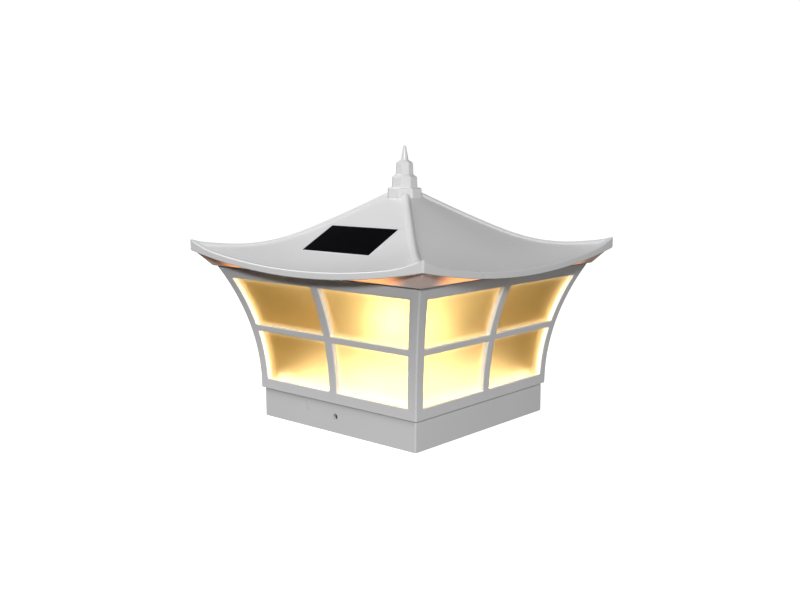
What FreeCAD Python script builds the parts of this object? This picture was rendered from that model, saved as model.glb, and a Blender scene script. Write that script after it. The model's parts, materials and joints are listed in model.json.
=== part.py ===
import FreeCAD, Part
import math
import os

# Solar post cap light: a square flared lantern with a curved pagoda roof, made to sit on a square post.
# Millimetres, +Z up, the origin on the axis at the bottom rim of the collar.
# The face with the solar panel above it looks along -Y.  "half" means half of a square's side.

V = FreeCAD.Vector
Z = V(0, 0, 1)

# ---- driving dimensions: collar -------------------------------------------------------------
post_half = 63.5            # the 127 mm post that the collar slides over
post_play = 1.5             # slack between post and collar on each side
collar_wall = 2.0
collar_height = 19.0
collar_edge_radius = 1.0
floor_thickness = 2.5       # closes the collar and lies on the end of the post
seam_height = 0.7           # shadow line between collar and lantern
seam_depth = 1.3
post_screw_radius = 2.0     # holes for the screws that hold the cap to its post
post_screw_level = 10.5

# ---- driving dimensions: lantern ------------------------------------------------------------
lantern_overhang = 1.8      # of the lantern beyond the collar
frame_wall = 3.0
frame_height = 82.3
frame_edge_radius = 1.0
flare_foot = 1.3            # straight part at the foot; the sides curve outwards above it
flare_radius = 178.8
corner_post_width = 6.8
mullion_width = 6.6
bottom_rail = 6.9
middle_rail = 4.3
middle_rail_height = 41.65  # of the rail's middle above the foot of the frame
top_rail = 7.2
window_corner_radius = 0.6
flange_width = 8.8          # inside the wall
flange_thickness = 2.0
pane_thickness = 2.0
pane_gap = 0.15             # between a pane and what it stands behind
pane_overlap = 2.7          # of a pane above its window
retainer_height = 4.0
retainer_width = 6.5
base_screw_inset = 11.3     # from the outside of the frame
base_boss_radius = 3.5
base_boss_height = 6.3

# ---- driving dimensions: roof ---------------------------------------------------------------
eave_overhang = 10.4        # of the eaves beyond the soffit tray
fascia_height = 2.9         # from its lower edge to the slope, at the middle of an eave
eave_slope = 0.1145         # rise per millimetre there
slope_curl = 0.00549        # how fast the slope steepens towards the axis, per millimetre
slope_ease = 0.0000176      # by which it steepens less and less, per square millimetre
eave_arc_radius = 496.0     # an eave curves up to its corners
sweep_inset = 55.6          # the upward sweep begins this far in from the eaves
sweep_length = 45.0
flick_height = 3.1          # the last bit of a corner turns up further
flick_length = 25.6
roof_thickness = 2.5
rim_width = 3.0
rim_height = 1.4
rib_half_width = 2.6
rib_height = 1.2
rib_start = 6.3             # from the axis, along each of the two slopes
rib_sink = 1.0              # of its rounded part into the slopes
rib_cover = 0.3             # between its root and the underside of the roof
seat_sink = 0.45            # of the flat under the finial, below the slopes round it
seat_margin = 0.5           # of that flat round the finial
seat_plate = 2.7

# ---- driving dimensions: finial -------------------------------------------------------------
# each tier: across flats, height of its straight wall, height of its sloping shoulder
finial_tiers = [(22.4, 7.15, 0.0), (16.6, 7.2, 1.8), (11.4, 7.6, 1.8)]
finial_draft = 0.6          # by which a tier's wall narrows to its top
spire_radius = 2.6
spire_tip_radius = 0.9
spire_height = 9.7
finial_gap = 0.3

# ---- driving dimensions: solar panel --------------------------------------------------------
panel_width = 57.6
panel_length = 30.4         # down the slope
panel_thickness = 2.6
panel_inset = 48.0          # of the panel's middle from the eave
panel_gap = 0.2
panel_border = 1.8
panel_border_proud = 0.2
panel_floor = 1.6
seal_thickness = 0.5
seal_width = 3.0
lead_hole_radius = 2.6

# ---- driving dimensions: soffit tray --------------------------------------------------------
tray_ledge = 2.0            # of the tray beyond the top of the frame
tray_thickness = 2.0
skirt_slope = 0.847         # outward run per millimetre of height
roof_gap = 0.4              # left between the tray and the roof over it
skirt_gap = 0.4             # left between the skirt and the fascia
spigot_depth = 3.6
spigot_wall = 2.0
gasket_thickness = 0.6
gasket_width = 3.2
gasket_inset = 0.5
tray_screw_inset = 18.0     # from the inside of the pane retainer
tray_screw_y = 36.0
tray_boss_radius = 4.0

# ---- driving dimensions: battery ------------------------------------------------------------
battery_radius = 7.25       # one AA cell
battery_length = 50.5
battery_nub_radius = 2.6
battery_nub_length = 1.0
battery_edge_radius = 0.8
battery_y = 34.0
bay_play = 1.0              # between the cell and the sides of its bay
bay_wall = 1.8
contact_thickness = 0.5
contact_inset = 1.5         # of a contact plate inside the end of the cell
spring_length = 5.5
spring_radius = 3.2         # where it meets the cell
spring_flare = 1.4
spring_wall = 0.6
door_gap = 0.3
door_lift = 0.4             # between the shut door and the cell
door_recess = 0.2           # the lid is this much thinner than the tray
grip_half_width = 8.0       # finger ridge of the lid
grip_inset = 1.0
grip_thickness = 1.2
grip_height = 1.0
hinge_pin_radius = 0.5
hinge_play = 0.05
hinge_barrel_radius = 1.0
hinge_pin_bite = 2.5        # length of pin in the tray at each end

# ---- driving dimensions: lamp ---------------------------------------------------------------
stem_radius = 9.0
stem_wall = 1.5
stem_flange_radius = 15.0
stem_flange = 1.6
stem_length = 22.6          # below the tray
globe_wall = 1.1
globe_gap = 0.15
globe_overlap = 4.5         # of the globe over the stem
globe_length = 27.5
led_board_thickness = 1.2
led_radius = 2.5
led_height = 5.0
led_count = 3
led_ring = 4.2

# ---- driving dimensions: electronics --------------------------------------------------------
board_x, board_y = -34.0, -9.0
board_size_x, board_size_y = 34.0, 26.0
board_thickness = 1.6
standoff_height = 3.0
standoff_radius = 2.6
board_screw_inset = 3.4
board_screw_head_radius = 2.5
board_screw_stop = 1.0      # its tip stays this far above the underside of the tray
coil_x, coil_y = -9.0, 6.0  # from the middle of the board, as for the parts below
coil_radius, coil_height = 3.0, 3.6
chip_size = (5.0, 4.0, 1.5)
capacitor_x, capacitor_y = 7.0, -8.0
capacitor_pitch = 6.0
capacitor_radius, capacitor_height = 2.0, 5.5
resistor_x, resistor_y = -9.0, -2.0
resistor_size = (6.0, 2.0, 1.2)
switch_x, switch_y = 32.0, -14.0
switch_size = (12.0, 6.0, 5.2)
knob_size = (3.2, 3.2)
knob_proud = 2.4
knob_depth = 2.2            # of the knob inside the switch
knob_travel = 3.0
knob_gap = 0.3
knob_edge_radius = 0.5
lead_radius = 0.6
lead_spacing = 1.8
lead_play = 0.1             # in the notches that the leads pass through
bend_share = 0.45           # of the shorter of two runs that an arc between them takes

# ---- driving dimensions: screws -------------------------------------------------------------
screw_radius = 1.2
screw_hole_play = 0.3       # where a screw passes freely
screw_bite_play = 0.05      # where a screw cuts its thread
screw_head_radius = 2.8
screw_head_height = 1.6
screw_length = 9.5
big = 400.0                 # longer than anything in the part
over = 1.0                  # by which a cutter passes what it cuts


# ---- small helpers --------------------------------------------------------------------------
def box(x0, x1, y0, y1, z0, z1):
    return Part.makeBox(x1 - x0, y1 - y0, z1 - z0, V(x0, y0, z0))


def square(half, z0, z1):
    return box(-half, half, -half, half, z0, z1)


def cylinder(radius, x, y, z0, z1):
    return Part.makeCylinder(radius, z1 - z0, V(x, y, z0))


def prism(points, direction):
    return Part.Face(Part.makePolygon(points + points[:1])).extrude(direction)


def turned(shape, quarter_turns):
    copy = shape.copy()
    copy.rotate(V(0, 0, 0), Z, 90 * quarter_turns)
    return copy


def ring_of_four(shape):
    return [turned(shape, k) for k in range(4)]


def fused(shapes):
    return shapes[0].multiFuse(shapes[1:]).removeSplitter()


def upright_screw(x, y, head_level, countersunk):
    """A screw that points up.  head_level is where its head begins below what it holds."""
    shank = cylinder(screw_radius, x, y, head_level, head_level + screw_length)
    if countersunk:
        head = Part.makeCone(screw_head_radius, screw_radius, screw_head_height, V(x, y, head_level))
    else:
        head = cylinder(screw_head_radius, x, y, head_level - screw_head_height, head_level)
    return fused([shank, head])


def corners(x, y):
    return [(sx * x, sy * y) for sx in (-1, 1) for sy in (-1, 1)]


def save(name, shapes):
    """Writes one node: a single solid, or a group of separate solids."""
    solids = [s for shape in shapes for s in shape.Solids]
    for solid in solids:
        assert solid.isValid() and solid.isClosed(), name
    whole = solids[0] if len(solids) == 1 else Part.makeCompound(solids)
    whole.exportStep(os.path.join("parts", name + ".step"))
    print(name, len(solids), "solid(s)", round(whole.Volume, 1), "mm3")
    return whole


# ---- levels and half widths, from the foot upwards ------------------------------------------
collar_inner = post_half + post_play
collar_half = collar_inner + collar_wall
floor_bottom = collar_height - floor_thickness
frame_bottom = collar_height + seam_height
frame_half = collar_half + lantern_overhang
frame_top = frame_bottom + frame_height
flare_start = frame_bottom + flare_foot
base_screw_half = frame_half - base_screw_inset


def flare_half(level, inset=0.0):
    """Half width of the flared side at a level, moved inwards by inset."""
    centre = frame_half + flare_radius
    rise = max(level - flare_start, 0.0)
    return centre - math.sqrt((flare_radius + inset) ** 2 - rise ** 2)


flange_top = frame_bottom + flange_thickness
boss_top = flange_top + base_boss_height
window_bottom = frame_bottom + bottom_rail
window_top = frame_top - top_rail
middle_rail_level = frame_bottom + middle_rail_height
pane_top = window_top + pane_overlap
retainer_top = pane_top + retainer_height
retainer_inner_half = flare_half(pane_top, frame_wall + pane_gap) - retainer_width
tray_bottom = frame_top + gasket_thickness
tray_top = tray_bottom + tray_thickness
tray_half = flare_half(frame_top) + tray_ledge
eave_half = tray_half + eave_overhang
fascia_level = tray_bottom
eave_level = fascia_level + fascia_height
seat_half = finial_tiers[0][0] / 2 + seat_margin
tray_screw_x = retainer_inner_half - tray_screw_inset
panel_distance = eave_half - panel_inset


def slope_level(distance):
    """Height of a slope along its middle line, at a distance from the axis."""
    inwards = eave_half - distance
    return eave_level + eave_slope * inwards + slope_curl * inwards ** 2 - slope_ease * inwards ** 3


seat_level = slope_level(seat_half) - seat_sink


# ---- collar ---------------------------------------------------------------------------------

def make_collar():
    """Square skirt with a floor; a thin pad on the floor makes the seam under the lantern."""
    skirt = square(collar_half, 0, collar_height)
    upright = [e for e in skirt.Edges if abs(e.BoundBox.ZLength - collar_height) < 0.01]
    skirt = skirt.makeFillet(collar_edge_radius, upright)
    collar = fused([skirt, square(collar_half - seam_depth, floor_bottom, frame_bottom)])
    collar = collar.cut(square(collar_inner, -over, floor_bottom))
    for x, y in corners(base_screw_half, base_screw_half):
        hole = cylinder(screw_radius + screw_hole_play, x, y, floor_bottom - over, frame_bottom + over)
        sink = Part.makeCone(screw_head_radius + screw_hole_play, screw_radius + screw_hole_play,
                             screw_head_height, V(x, y, floor_bottom))
        collar = collar.cut(hole).cut(sink)
    post_holes = Part.makeCylinder(post_screw_radius, big, V(0, -big / 2, post_screw_level), V(0, 1, 0))
    return collar.cut(post_holes)


# ---- lantern --------------------------------------------------------------------------------
def flared_slab(inset, z0, z1):
    """Everything between the two flared sides that face -X and +X."""
    middle = (max(z0, flare_start) + z1) / 2
    rows = [(flare_half(z, inset), z) for z in (z0, max(z0, flare_start), middle, z1)]
    low, start, mid, top = [V(x, 0, z) for x, z in rows]
    other = [V(-p.x, 0, p.z) for p in (low, start, mid, top)]
    edges = [Part.makeLine(other[0], low)]
    if start.z > low.z:
        edges.append(Part.makeLine(low, start))
    edges += [Part.Arc(start, mid, top).toShape(), Part.makeLine(top, other[3]),
              Part.Arc(other[3], other[2], other[1]).toShape()]
    if start.z > low.z:
        edges.append(Part.makeLine(other[1], other[0]))
    face = Part.Face(Part.Wire(edges))
    face.translate(V(0, -big / 2, 0))
    return face.extrude(V(0, big, 0))


def flared_body(inset, z0, z1):
    slab = flared_slab(inset, z0, z1)
    return slab.common(turned(slab, 1))


def window_cutters():
    """Four windows on a side, cut through this side and the opposite one."""
    cutters = []
    rows = [(window_bottom, middle_rail_level - middle_rail / 2),
            (middle_rail_level + middle_rail / 2, window_top)]
    for z0, z1 in rows:
        between_posts = flared_slab(corner_post_width, z0, z1)
        for x0, x1 in ((-big / 2, -mullion_width / 2), (mullion_width / 2, big / 2)):
            window = between_posts.common(box(x0, x1, -big / 2, big / 2, z0, z1))
            long_edges = [e for e in window.Edges if e.BoundBox.YLength > big / 2]
            cutters.append(window.makeFillet(window_corner_radius, long_edges))
    return cutters


def make_frame():
    outer = flared_body(0.0, frame_bottom, frame_top)
    posts = [e for e in outer.Edges
             if e.BoundBox.ZLength > 10 and min(abs(v.Point.x) for v in e.Vertexes) > 10]
    outer = outer.makeFillet(frame_edge_radius, posts)
    frame = outer.cut(flared_body(frame_wall, frame_bottom - over, frame_top + over))
    flange = square(frame_half - frame_wall / 2, frame_bottom, flange_top)
    flange = flange.cut(square(frame_half - frame_wall - flange_width, frame_bottom, flange_top))
    bosses = [cylinder(base_boss_radius, x, y, frame_bottom, boss_top)
              for x, y in corners(base_screw_half, base_screw_half)]
    frame = fused([frame, flange] + bosses)
    for cutter in window_cutters():
        frame = frame.cut(cutter).cut(turned(cutter, 1))
    for x, y in corners(base_screw_half, base_screw_half):
        frame = frame.cut(cylinder(screw_radius + screw_bite_play, x, y,
                                   frame_bottom - over, boss_top + over))
    return frame


def make_pane():
    """The pane behind the front side; the other three are this one turned."""
    outer = turned(flared_slab(frame_wall + pane_gap, flange_top, pane_top), 1)
    inner = turned(flared_slab(frame_wall + pane_gap + pane_thickness,
                               flange_top - over, pane_top + over), 1)
    layer = outer.cut(inner).common(box(-big / 2, big / 2, -big / 2, 0, flange_top, pane_top))
    return layer.common(flared_slab(frame_wall + pane_thickness + 2 * pane_gap, flange_top, pane_top))


def make_retainer():
    """Square ring that lies on the top edges of the panes and keeps them against the frame."""
    ring = flared_body(frame_wall + pane_gap, pane_top, retainer_top)
    return ring.cut(square(retainer_inner_half, pane_top - over, retainer_top + over))


# ---- roof -----------------------------------------------------------------------------------
def roof_level(side, distance):
    """Height of a slope at a place to the side of its middle line."""
    t = min(max((distance - eave_half + sweep_inset) / sweep_length, 0.0), 1.0)
    sweep = side ** 2 / (2 * eave_arc_radius) * t * t * (3 - 2 * t)
    flick = flick_height * (max(abs(side) - eave_half + flick_length, 0.0) / flick_length) ** 2
    return slope_level(distance) + sweep + flick


grid_margin = 1.4           # of the slope's surface beyond the eaves
across_count = 17
down_count = 15
roof_reach = slope_level(0.0) - tray_bottom + over


def slope_slab(low, high):
    """The front slope as a layer between two heights measured from its surface."""
    reach = eave_half + grid_margin
    rows = []
    for i in range(across_count):
        x = -reach + 2 * reach * i / (across_count - 1)
        distances = [grid_margin + (reach - grid_margin) * j / (down_count - 1) for j in range(down_count)]
        rows.append([V(x, -d, roof_level(x, d) + low) for d in distances])
    surface = Part.BSplineSurface()
    surface.interpolate(rows)
    return surface.toShape().extrude(V(0, 0, high - low))


def front_sector(inner, outer):
    """Upright prism over the quarter of the plan in front of the axis."""
    plan = [V(-inner, -inner, 0), V(-outer, -outer, 0), V(outer, -outer, 0), V(inner, -inner, 0)]
    if inner == 0:
        plan = plan[:3]
    return prism(plan, V(0, 0, big))


def below_fascia():
    """What lies under the curved lower edge of the front fascia."""
    ends = eave_half + grid_margin
    rise = eave_arc_radius - math.sqrt(eave_arc_radius ** 2 - ends ** 2)
    left, right = V(-ends, 0, fascia_level + rise), V(ends, 0, fascia_level + rise)
    arc = Part.Arc(left, V(0, 0, fascia_level), right).toShape()
    sides = Part.makePolygon([right, V(ends, 0, 0), V(-ends, 0, 0), left])
    face = Part.Face(Part.Wire([arc] + sides.Edges))
    face.translate(V(0, -big, 0))
    return face.extrude(V(0, big, 0))


def roof_rib():
    """Rounded rib along the ridge towards the +X -Y corner."""
    sections = []
    count = 12
    first, last = rib_start, eave_half + grid_margin
    along, across = V(1, -1, 0).normalize(), V(1, 1, 0).normalize()
    for i in range(count):
        half = first + (last - first) * i / (count - 1)
        foot = V(half, -half, roof_level(half, half))

        def at(side, height):
            return foot + across * side + Z * height

        left, right = at(-rib_half_width, -rib_sink), at(rib_half_width, -rib_sink)
        low = -roof_thickness + rib_cover
        arc = Part.Arc(left, at(0, rib_height), right).toShape()
        base = Part.makePolygon([right, at(rib_half_width, low), at(-rib_half_width, low), left])
        sections.append(Part.Wire([arc] + base.Edges))
    return Part.makeLoft(sections, True)


slope_tilt = math.atan(eave_slope + 2 * slope_curl * panel_inset - 3 * slope_ease * panel_inset ** 2)
panel_run = panel_length * math.cos(slope_tilt)
panel_raise = (slope_curl - 3 * slope_ease * panel_inset) * panel_run ** 2 / 4
panel_centre = V(0, -panel_distance, slope_level(panel_distance) + panel_raise)


def on_slope(width, length, top, bottom):
    """Block in the slope under the solar panel; top and bottom are measured from the panel's face."""
    block = box(-width / 2, width / 2, -length / 2, length / 2, bottom, top)
    block.rotate(V(0, 0, 0), V(1, 0, 0), math.degrees(slope_tilt))
    block.translate(panel_centre)
    return block


def octagon(across_flats, z0, z1, top_flats=None):
    """Eight-sided block with flats that face the roof's slopes, or one that narrows to the top."""
    def ring(flats, level):
        radius = flats / 2 / math.cos(math.pi / 8)
        turns = [math.pi / 8 + k * math.pi / 4 for k in range(8)]
        points = [V(radius * math.cos(a), radius * math.sin(a), level) for a in turns]
        return Part.makePolygon(points + points[:1])
    return Part.makeLoft([ring(across_flats, z0), ring(top_flats or across_flats, z1)], True, True)


pocket_depth = panel_thickness + seal_thickness
panel_normal = V(0, -math.sin(slope_tilt), math.cos(slope_tilt))
lead_drop = panel_normal * -pocket_depth


def make_roof():
    sector = front_sector(0, eave_half)
    slope = slope_slab(-roof_thickness, 0).common(sector)
    rim_depth = fascia_height + flick_height + 2 * over
    rim = slope_slab(-rim_depth, rim_height).common(front_sector(eave_half - rim_width, eave_half))
    rim = rim.cut(below_fascia())
    quarter = fused([slope, rim])
    rib = roof_rib().common(square(eave_half, 0, big))
    seat = square(seat_half, seat_level - seat_plate, seat_level)
    roof = fused(ring_of_four(quarter) + ring_of_four(rib) + [seat])
    roof = roof.cut(octagon(finial_tiers[0][0] + 2 * finial_gap, seat_level, big))
    roof = roof.cut(cylinder(screw_radius + screw_hole_play, 0, 0,
                             seat_level - roof_reach, seat_level + over))
    border = 2 * (panel_gap + panel_border)
    tub = on_slope(panel_width + border, panel_length + border, panel_border_proud,
                   -pocket_depth - panel_floor)
    pocket = on_slope(panel_width + 2 * panel_gap, panel_length + 2 * panel_gap,
                      roof_reach, -pocket_depth)
    roof = fused([roof, tub]).cut(pocket)
    hole = Part.makeCylinder(lead_hole_radius, roof_reach, V(0, 0, -roof_reach / 2))
    hole.rotate(V(0, 0, 0), V(1, 0, 0), math.degrees(slope_tilt))
    hole.translate(panel_centre + lead_drop)
    roof = roof.cut(hole)
    under = slope_slab(-roof_reach, -roof_thickness / 2).common(sector)
    bosses = []
    for sx in (-1, 1):
        side = turned(under, sx)
        for sy in (-1, 1):
            post = cylinder(tray_boss_radius, sx * tray_screw_x, sy * tray_screw_y, tray_top, seat_level)
            bosses.append(post.common(side))
    roof = fused([roof] + bosses)
    for x, y in corners(tray_screw_x, tray_screw_y):
        roof = roof.cut(cylinder(screw_radius + screw_bite_play, x, y, tray_top - over,
                                 tray_bottom + screw_length + over))
    return roof


def make_finial():
    """Three eight-sided tiers with sloping shoulders and a thin spire."""
    level = seat_level
    pieces = []
    for k, (flats, wall, shoulder) in enumerate(finial_tiers):
        pieces.append(octagon(flats, level, level + wall, flats - finial_draft))
        level += wall
        if shoulder:
            narrow = spire_radius * 2 if k == len(finial_tiers) - 1 else finial_tiers[k + 1][0]
            pieces.append(octagon(flats - finial_draft, level, level + shoulder, narrow))
            level += shoulder
    spire = Part.makeCone(spire_radius, spire_tip_radius, spire_height - spire_tip_radius, V(0, 0, level))
    tip = Part.makeSphere(spire_tip_radius, V(0, 0, level + spire_height - spire_tip_radius))
    finial = fused(pieces + [spire, tip])
    return finial.cut(cylinder(screw_radius + screw_bite_play, 0, 0, seat_level - over,
                               seat_level + screw_length - seat_plate + over))


def make_panel_seal():
    outer = on_slope(panel_width, panel_length, -panel_thickness, -pocket_depth)
    return outer.cut(on_slope(panel_width - 2 * seal_width, panel_length - 2 * seal_width,
                              0, -roof_reach))


# ---- soffit tray ----------------------------------------------------------------------------
bay_half_width = battery_radius + bay_play
bay_half_length = (battery_length + spring_length + 2 * contact_thickness) / 2
bay_low_y, bay_high_y = battery_y - bay_half_width, battery_y + bay_half_width
hinge_y = bay_high_y - door_gap - hinge_barrel_radius
hinge_z = tray_bottom + hinge_barrel_radius
spigot_half = retainer_inner_half - roof_gap


def skirt_solid(inset):
    """Square block whose sides slope outwards and then stand upright just inside the fascia."""
    limit = eave_half - rim_width - skirt_gap
    knee = tray_bottom + (limit - tray_half) / skirt_slope

    def ring(half, level):
        return Part.makePolygon([V(-half, -half, level), V(half, -half, level), V(half, half, level),
                                 V(-half, half, level), V(-half, -half, level)])
    cone = Part.makeLoft([ring(tray_half - inset, tray_bottom), ring(limit - inset, knee)], True, True)
    return fused([cone, square(limit - inset, knee, knee + roof_reach / 2)])


def above_roof_underside(gap):
    """All that is higher than the underside of the roof, less a gap."""
    quarter = slope_slab(-roof_thickness - gap, roof_reach).common(front_sector(0, eave_half))
    return ring_of_four(quarter)


def make_tray():
    hollow = skirt_solid(tray_thickness).cut(square(big, 0, tray_top))
    tray = skirt_solid(0.0).cut(hollow)
    for part in above_roof_underside(roof_gap):
        tray = tray.cut(part)
    spigot = square(spigot_half, tray_bottom - spigot_depth, tray_bottom)
    spigot = spigot.cut(square(spigot_half - spigot_wall, 0, tray_bottom))
    standoffs = [cylinder(standoff_radius, x, y, tray_bottom, tray_top + standoff_height)
                 for x, y in board_screw_places()]
    tray = fused([tray, spigot] + standoffs)
    tray = tray.cut(box(-bay_half_length, bay_half_length, bay_low_y, bay_high_y, 0, big))
    pin_reach = bay_half_length + hinge_pin_bite
    pin_hole = Part.makeCylinder(hinge_pin_radius, 2 * pin_reach, V(-pin_reach, hinge_y, hinge_z), V(1, 0, 0))
    tray = tray.cut(pin_hole)
    tray = tray.cut(cylinder(stem_radius + globe_gap, 0, 0, 0, big))
    slot_x = knob_size[0] / 2 + knob_gap
    slot_y = knob_size[1] / 2 + knob_gap
    tray = tray.cut(box(switch_x - slot_x, switch_x + slot_x + knob_travel,
                        switch_y - slot_y, switch_y + slot_y, 0, big))
    for x, y in corners(tray_screw_x, tray_screw_y):
        tray = tray.cut(cylinder(screw_radius + screw_hole_play, x, y, 0, big))
    for x, y in board_screw_places():
        tray = tray.cut(cylinder(screw_radius + screw_bite_play, x, y, 0, big))
    return tray


def make_gasket():
    outer = flare_half(frame_top) - gasket_inset
    ring = square(outer, frame_top, tray_bottom)
    return ring.cut(square(outer - gasket_width, frame_top - over, tray_bottom + over))


# ---- battery bay ----------------------------------------------------------------------------
cell_level = tray_top - door_recess + door_lift + battery_radius
cell_start = bay_half_length - contact_thickness - battery_length
bay_top = cell_level + battery_radius + bay_play


def make_battery():
    body_length = battery_length - battery_nub_length
    start = V(cell_start, battery_y, cell_level)
    body = Part.makeCylinder(battery_radius, body_length, start, V(1, 0, 0))
    rims = [e for e in body.Edges if abs(e.Length - 2 * math.pi * battery_radius) < 0.01]
    body = body.makeFillet(battery_edge_radius, rims)
    nub = Part.makeCylinder(battery_nub_radius, battery_nub_length + over,
                            start + V(body_length - over, 0, 0), V(1, 0, 0))
    return fused([body, nub])


def make_bay():
    """Open-bottomed tub on the tray, over the battery opening, with a notch for each lead."""
    outer = box(-bay_half_length - bay_wall, bay_half_length + bay_wall, bay_low_y - bay_wall,
                bay_high_y + bay_wall, tray_top, bay_top + bay_wall)
    inner = box(-bay_half_length, bay_half_length, bay_low_y, bay_high_y,
                tray_top - over, bay_top)
    bay = outer.cut(inner)
    notch = Part.makeCylinder(lead_radius + lead_play, big, V(-big / 2, battery_y, cell_level), V(1, 0, 0))
    return bay.cut(notch)


def contact_plate(x0):
    side = battery_radius - contact_inset
    return box(x0, x0 + contact_thickness, battery_y - side, battery_y + side,
               cell_level - side, cell_level + side)


def make_spring():
    """Sheet contact with a hollow cone that stands for its conical spring."""
    plate = contact_plate(-bay_half_length)
    start = V(-bay_half_length + contact_thickness / 2, battery_y, cell_level)
    length = spring_length + contact_thickness / 2
    wide = spring_radius + spring_flare
    outer = Part.makeCone(wide, spring_radius, length, start, V(1, 0, 0))
    inner = Part.makeCone(wide - spring_wall, spring_radius - spring_wall, length, start, V(1, 0, 0))
    return fused([plate, outer.cut(inner)])


def make_door():
    """Lid of the battery bay, flush with the tray, with a barrel round its hinge pin."""
    length = bay_half_length - door_gap
    thickness = tray_thickness - door_recess
    lid = box(-length, length, bay_low_y + door_gap, hinge_y, tray_bottom, tray_bottom + thickness)
    barrel = Part.makeCylinder(hinge_barrel_radius, 2 * length, V(-length, hinge_y, hinge_z), V(1, 0, 0))
    grip_y = bay_low_y + door_gap + grip_inset
    grip = box(-grip_half_width, grip_half_width, grip_y, grip_y + grip_thickness,
               tray_bottom - grip_height, tray_bottom + thickness / 2)
    bore = Part.makeCylinder(hinge_pin_radius + hinge_play, big, V(-big / 2, hinge_y, hinge_z), V(1, 0, 0))
    return fused([lid, barrel, grip]).cut(bore)


def make_hinge_pin():
    reach = bay_half_length + hinge_pin_bite
    return Part.makeCylinder(hinge_pin_radius, 2 * reach, V(-reach, hinge_y, hinge_z), V(1, 0, 0))


# ---- lamp -----------------------------------------------------------------------------------
globe_inner = stem_radius + globe_gap
globe_outer = globe_inner + globe_wall
stem_bottom = tray_bottom - stem_length
globe_top = stem_bottom + globe_overlap
globe_bottom = globe_top - globe_length


def make_stem():
    """Tube that hangs from the tray and carries the light board at its lower end."""
    flange = cylinder(stem_flange_radius, 0, 0, tray_top, tray_top + stem_flange)
    tube = cylinder(stem_radius, 0, 0, stem_bottom, tray_top + stem_flange)
    bore = cylinder(stem_radius - stem_wall, 0, 0, stem_bottom - over,
                    tray_top + stem_flange + over)
    return fused([flange, tube]).cut(bore)


def make_led_board():
    return cylinder(stem_radius - stem_wall, 0, 0, stem_bottom, stem_bottom + led_board_thickness)


def make_leds():
    """Small round-nosed lights that hang under their board."""
    lights = []
    for k in range(led_count):
        turn = 2 * math.pi * k / led_count
        x, y = led_ring * math.cos(turn), led_ring * math.sin(turn)
        nose = stem_bottom - led_height + led_radius
        body = cylinder(led_radius, x, y, nose, stem_bottom)
        lights.append(fused([body, Part.makeSphere(led_radius, V(x, y, nose))]))
    return lights


def make_globe():
    """Frosted cap pushed over the lower end of the stem."""
    def capsule(radius, bottom, top):
        centre = bottom + radius
        return fused([cylinder(radius, 0, 0, centre, top), Part.makeSphere(radius, V(0, 0, centre))])
    return capsule(globe_outer, globe_bottom, globe_top).cut(
        capsule(globe_inner, globe_bottom + globe_wall, globe_top + over))


# ---- electronics ----------------------------------------------------------------------------
board_level = tray_top + standoff_height
board_face = board_level + board_thickness


def board_screw_places():
    dx = board_size_x / 2 - board_screw_inset
    dy = board_size_y / 2 - board_screw_inset
    return [(board_x - dx, board_y - dy), (board_x + dx, board_y + dy)]


def make_board():
    board = box(board_x - board_size_x / 2, board_x + board_size_x / 2, board_y - board_size_y / 2,
                board_y + board_size_y / 2, board_level, board_face)
    for x, y in board_screw_places():
        board = board.cut(cylinder(screw_radius + screw_hole_play, x, y, 0, big))
    return board


def on_board(dx, dy, size):
    x, y = board_x + dx, board_y + dy
    return box(x - size[0] / 2, x + size[0] / 2, y - size[1] / 2, y + size[1] / 2,
               board_face, board_face + size[2])


def make_board_parts():
    """Coil, charge chip, two capacitors and a resistor on the upper face of the board."""
    coil = cylinder(coil_radius, board_x + coil_x, board_y + coil_y, board_face, board_face + coil_height)
    chip = on_board(0.0, 0.0, chip_size)
    capacitors = [cylinder(capacitor_radius, board_x + capacitor_x,
                           board_y + capacitor_y + capacitor_pitch * k,
                           board_face, board_face + capacitor_height) for k in range(2)]
    resistor = on_board(resistor_x, resistor_y, resistor_size)
    return [coil, chip, resistor] + capacitors


def make_board_screws():
    length = standoff_height + tray_thickness - board_screw_stop + board_thickness
    screws = []
    for x, y in board_screw_places():
        shank = cylinder(screw_radius, x, y, board_face - length, board_face)
        head = cylinder(board_screw_head_radius, x, y, board_face, board_face + screw_head_height)
        screws.append(fused([shank, head]))
    return screws


knob_half_x, knob_half_y = knob_size[0] / 2, knob_size[1] / 2
knob_top = tray_top + knob_depth


def make_switch():
    sx, sy, sz = switch_size
    middle = switch_x + knob_travel / 2
    body = box(middle - sx / 2, middle + sx / 2, switch_y - sy / 2, switch_y + sy / 2,
               tray_top, tray_top + sz)
    pocket = box(switch_x - knob_half_x - knob_gap, switch_x + knob_half_x + knob_travel + knob_gap,
                 switch_y - knob_half_y - knob_gap, switch_y + knob_half_y + knob_gap,
                 tray_top - over, knob_top + knob_gap)
    return body.cut(pocket)


def make_knob():
    knob = box(switch_x - knob_half_x, switch_x + knob_half_x, switch_y - knob_half_y,
               switch_y + knob_half_y, tray_bottom - knob_proud, knob_top)
    foot = [e for e in knob.Edges if e.BoundBox.ZMax < tray_bottom - knob_proud + 0.01]
    return knob.makeFillet(knob_edge_radius, foot)


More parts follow.
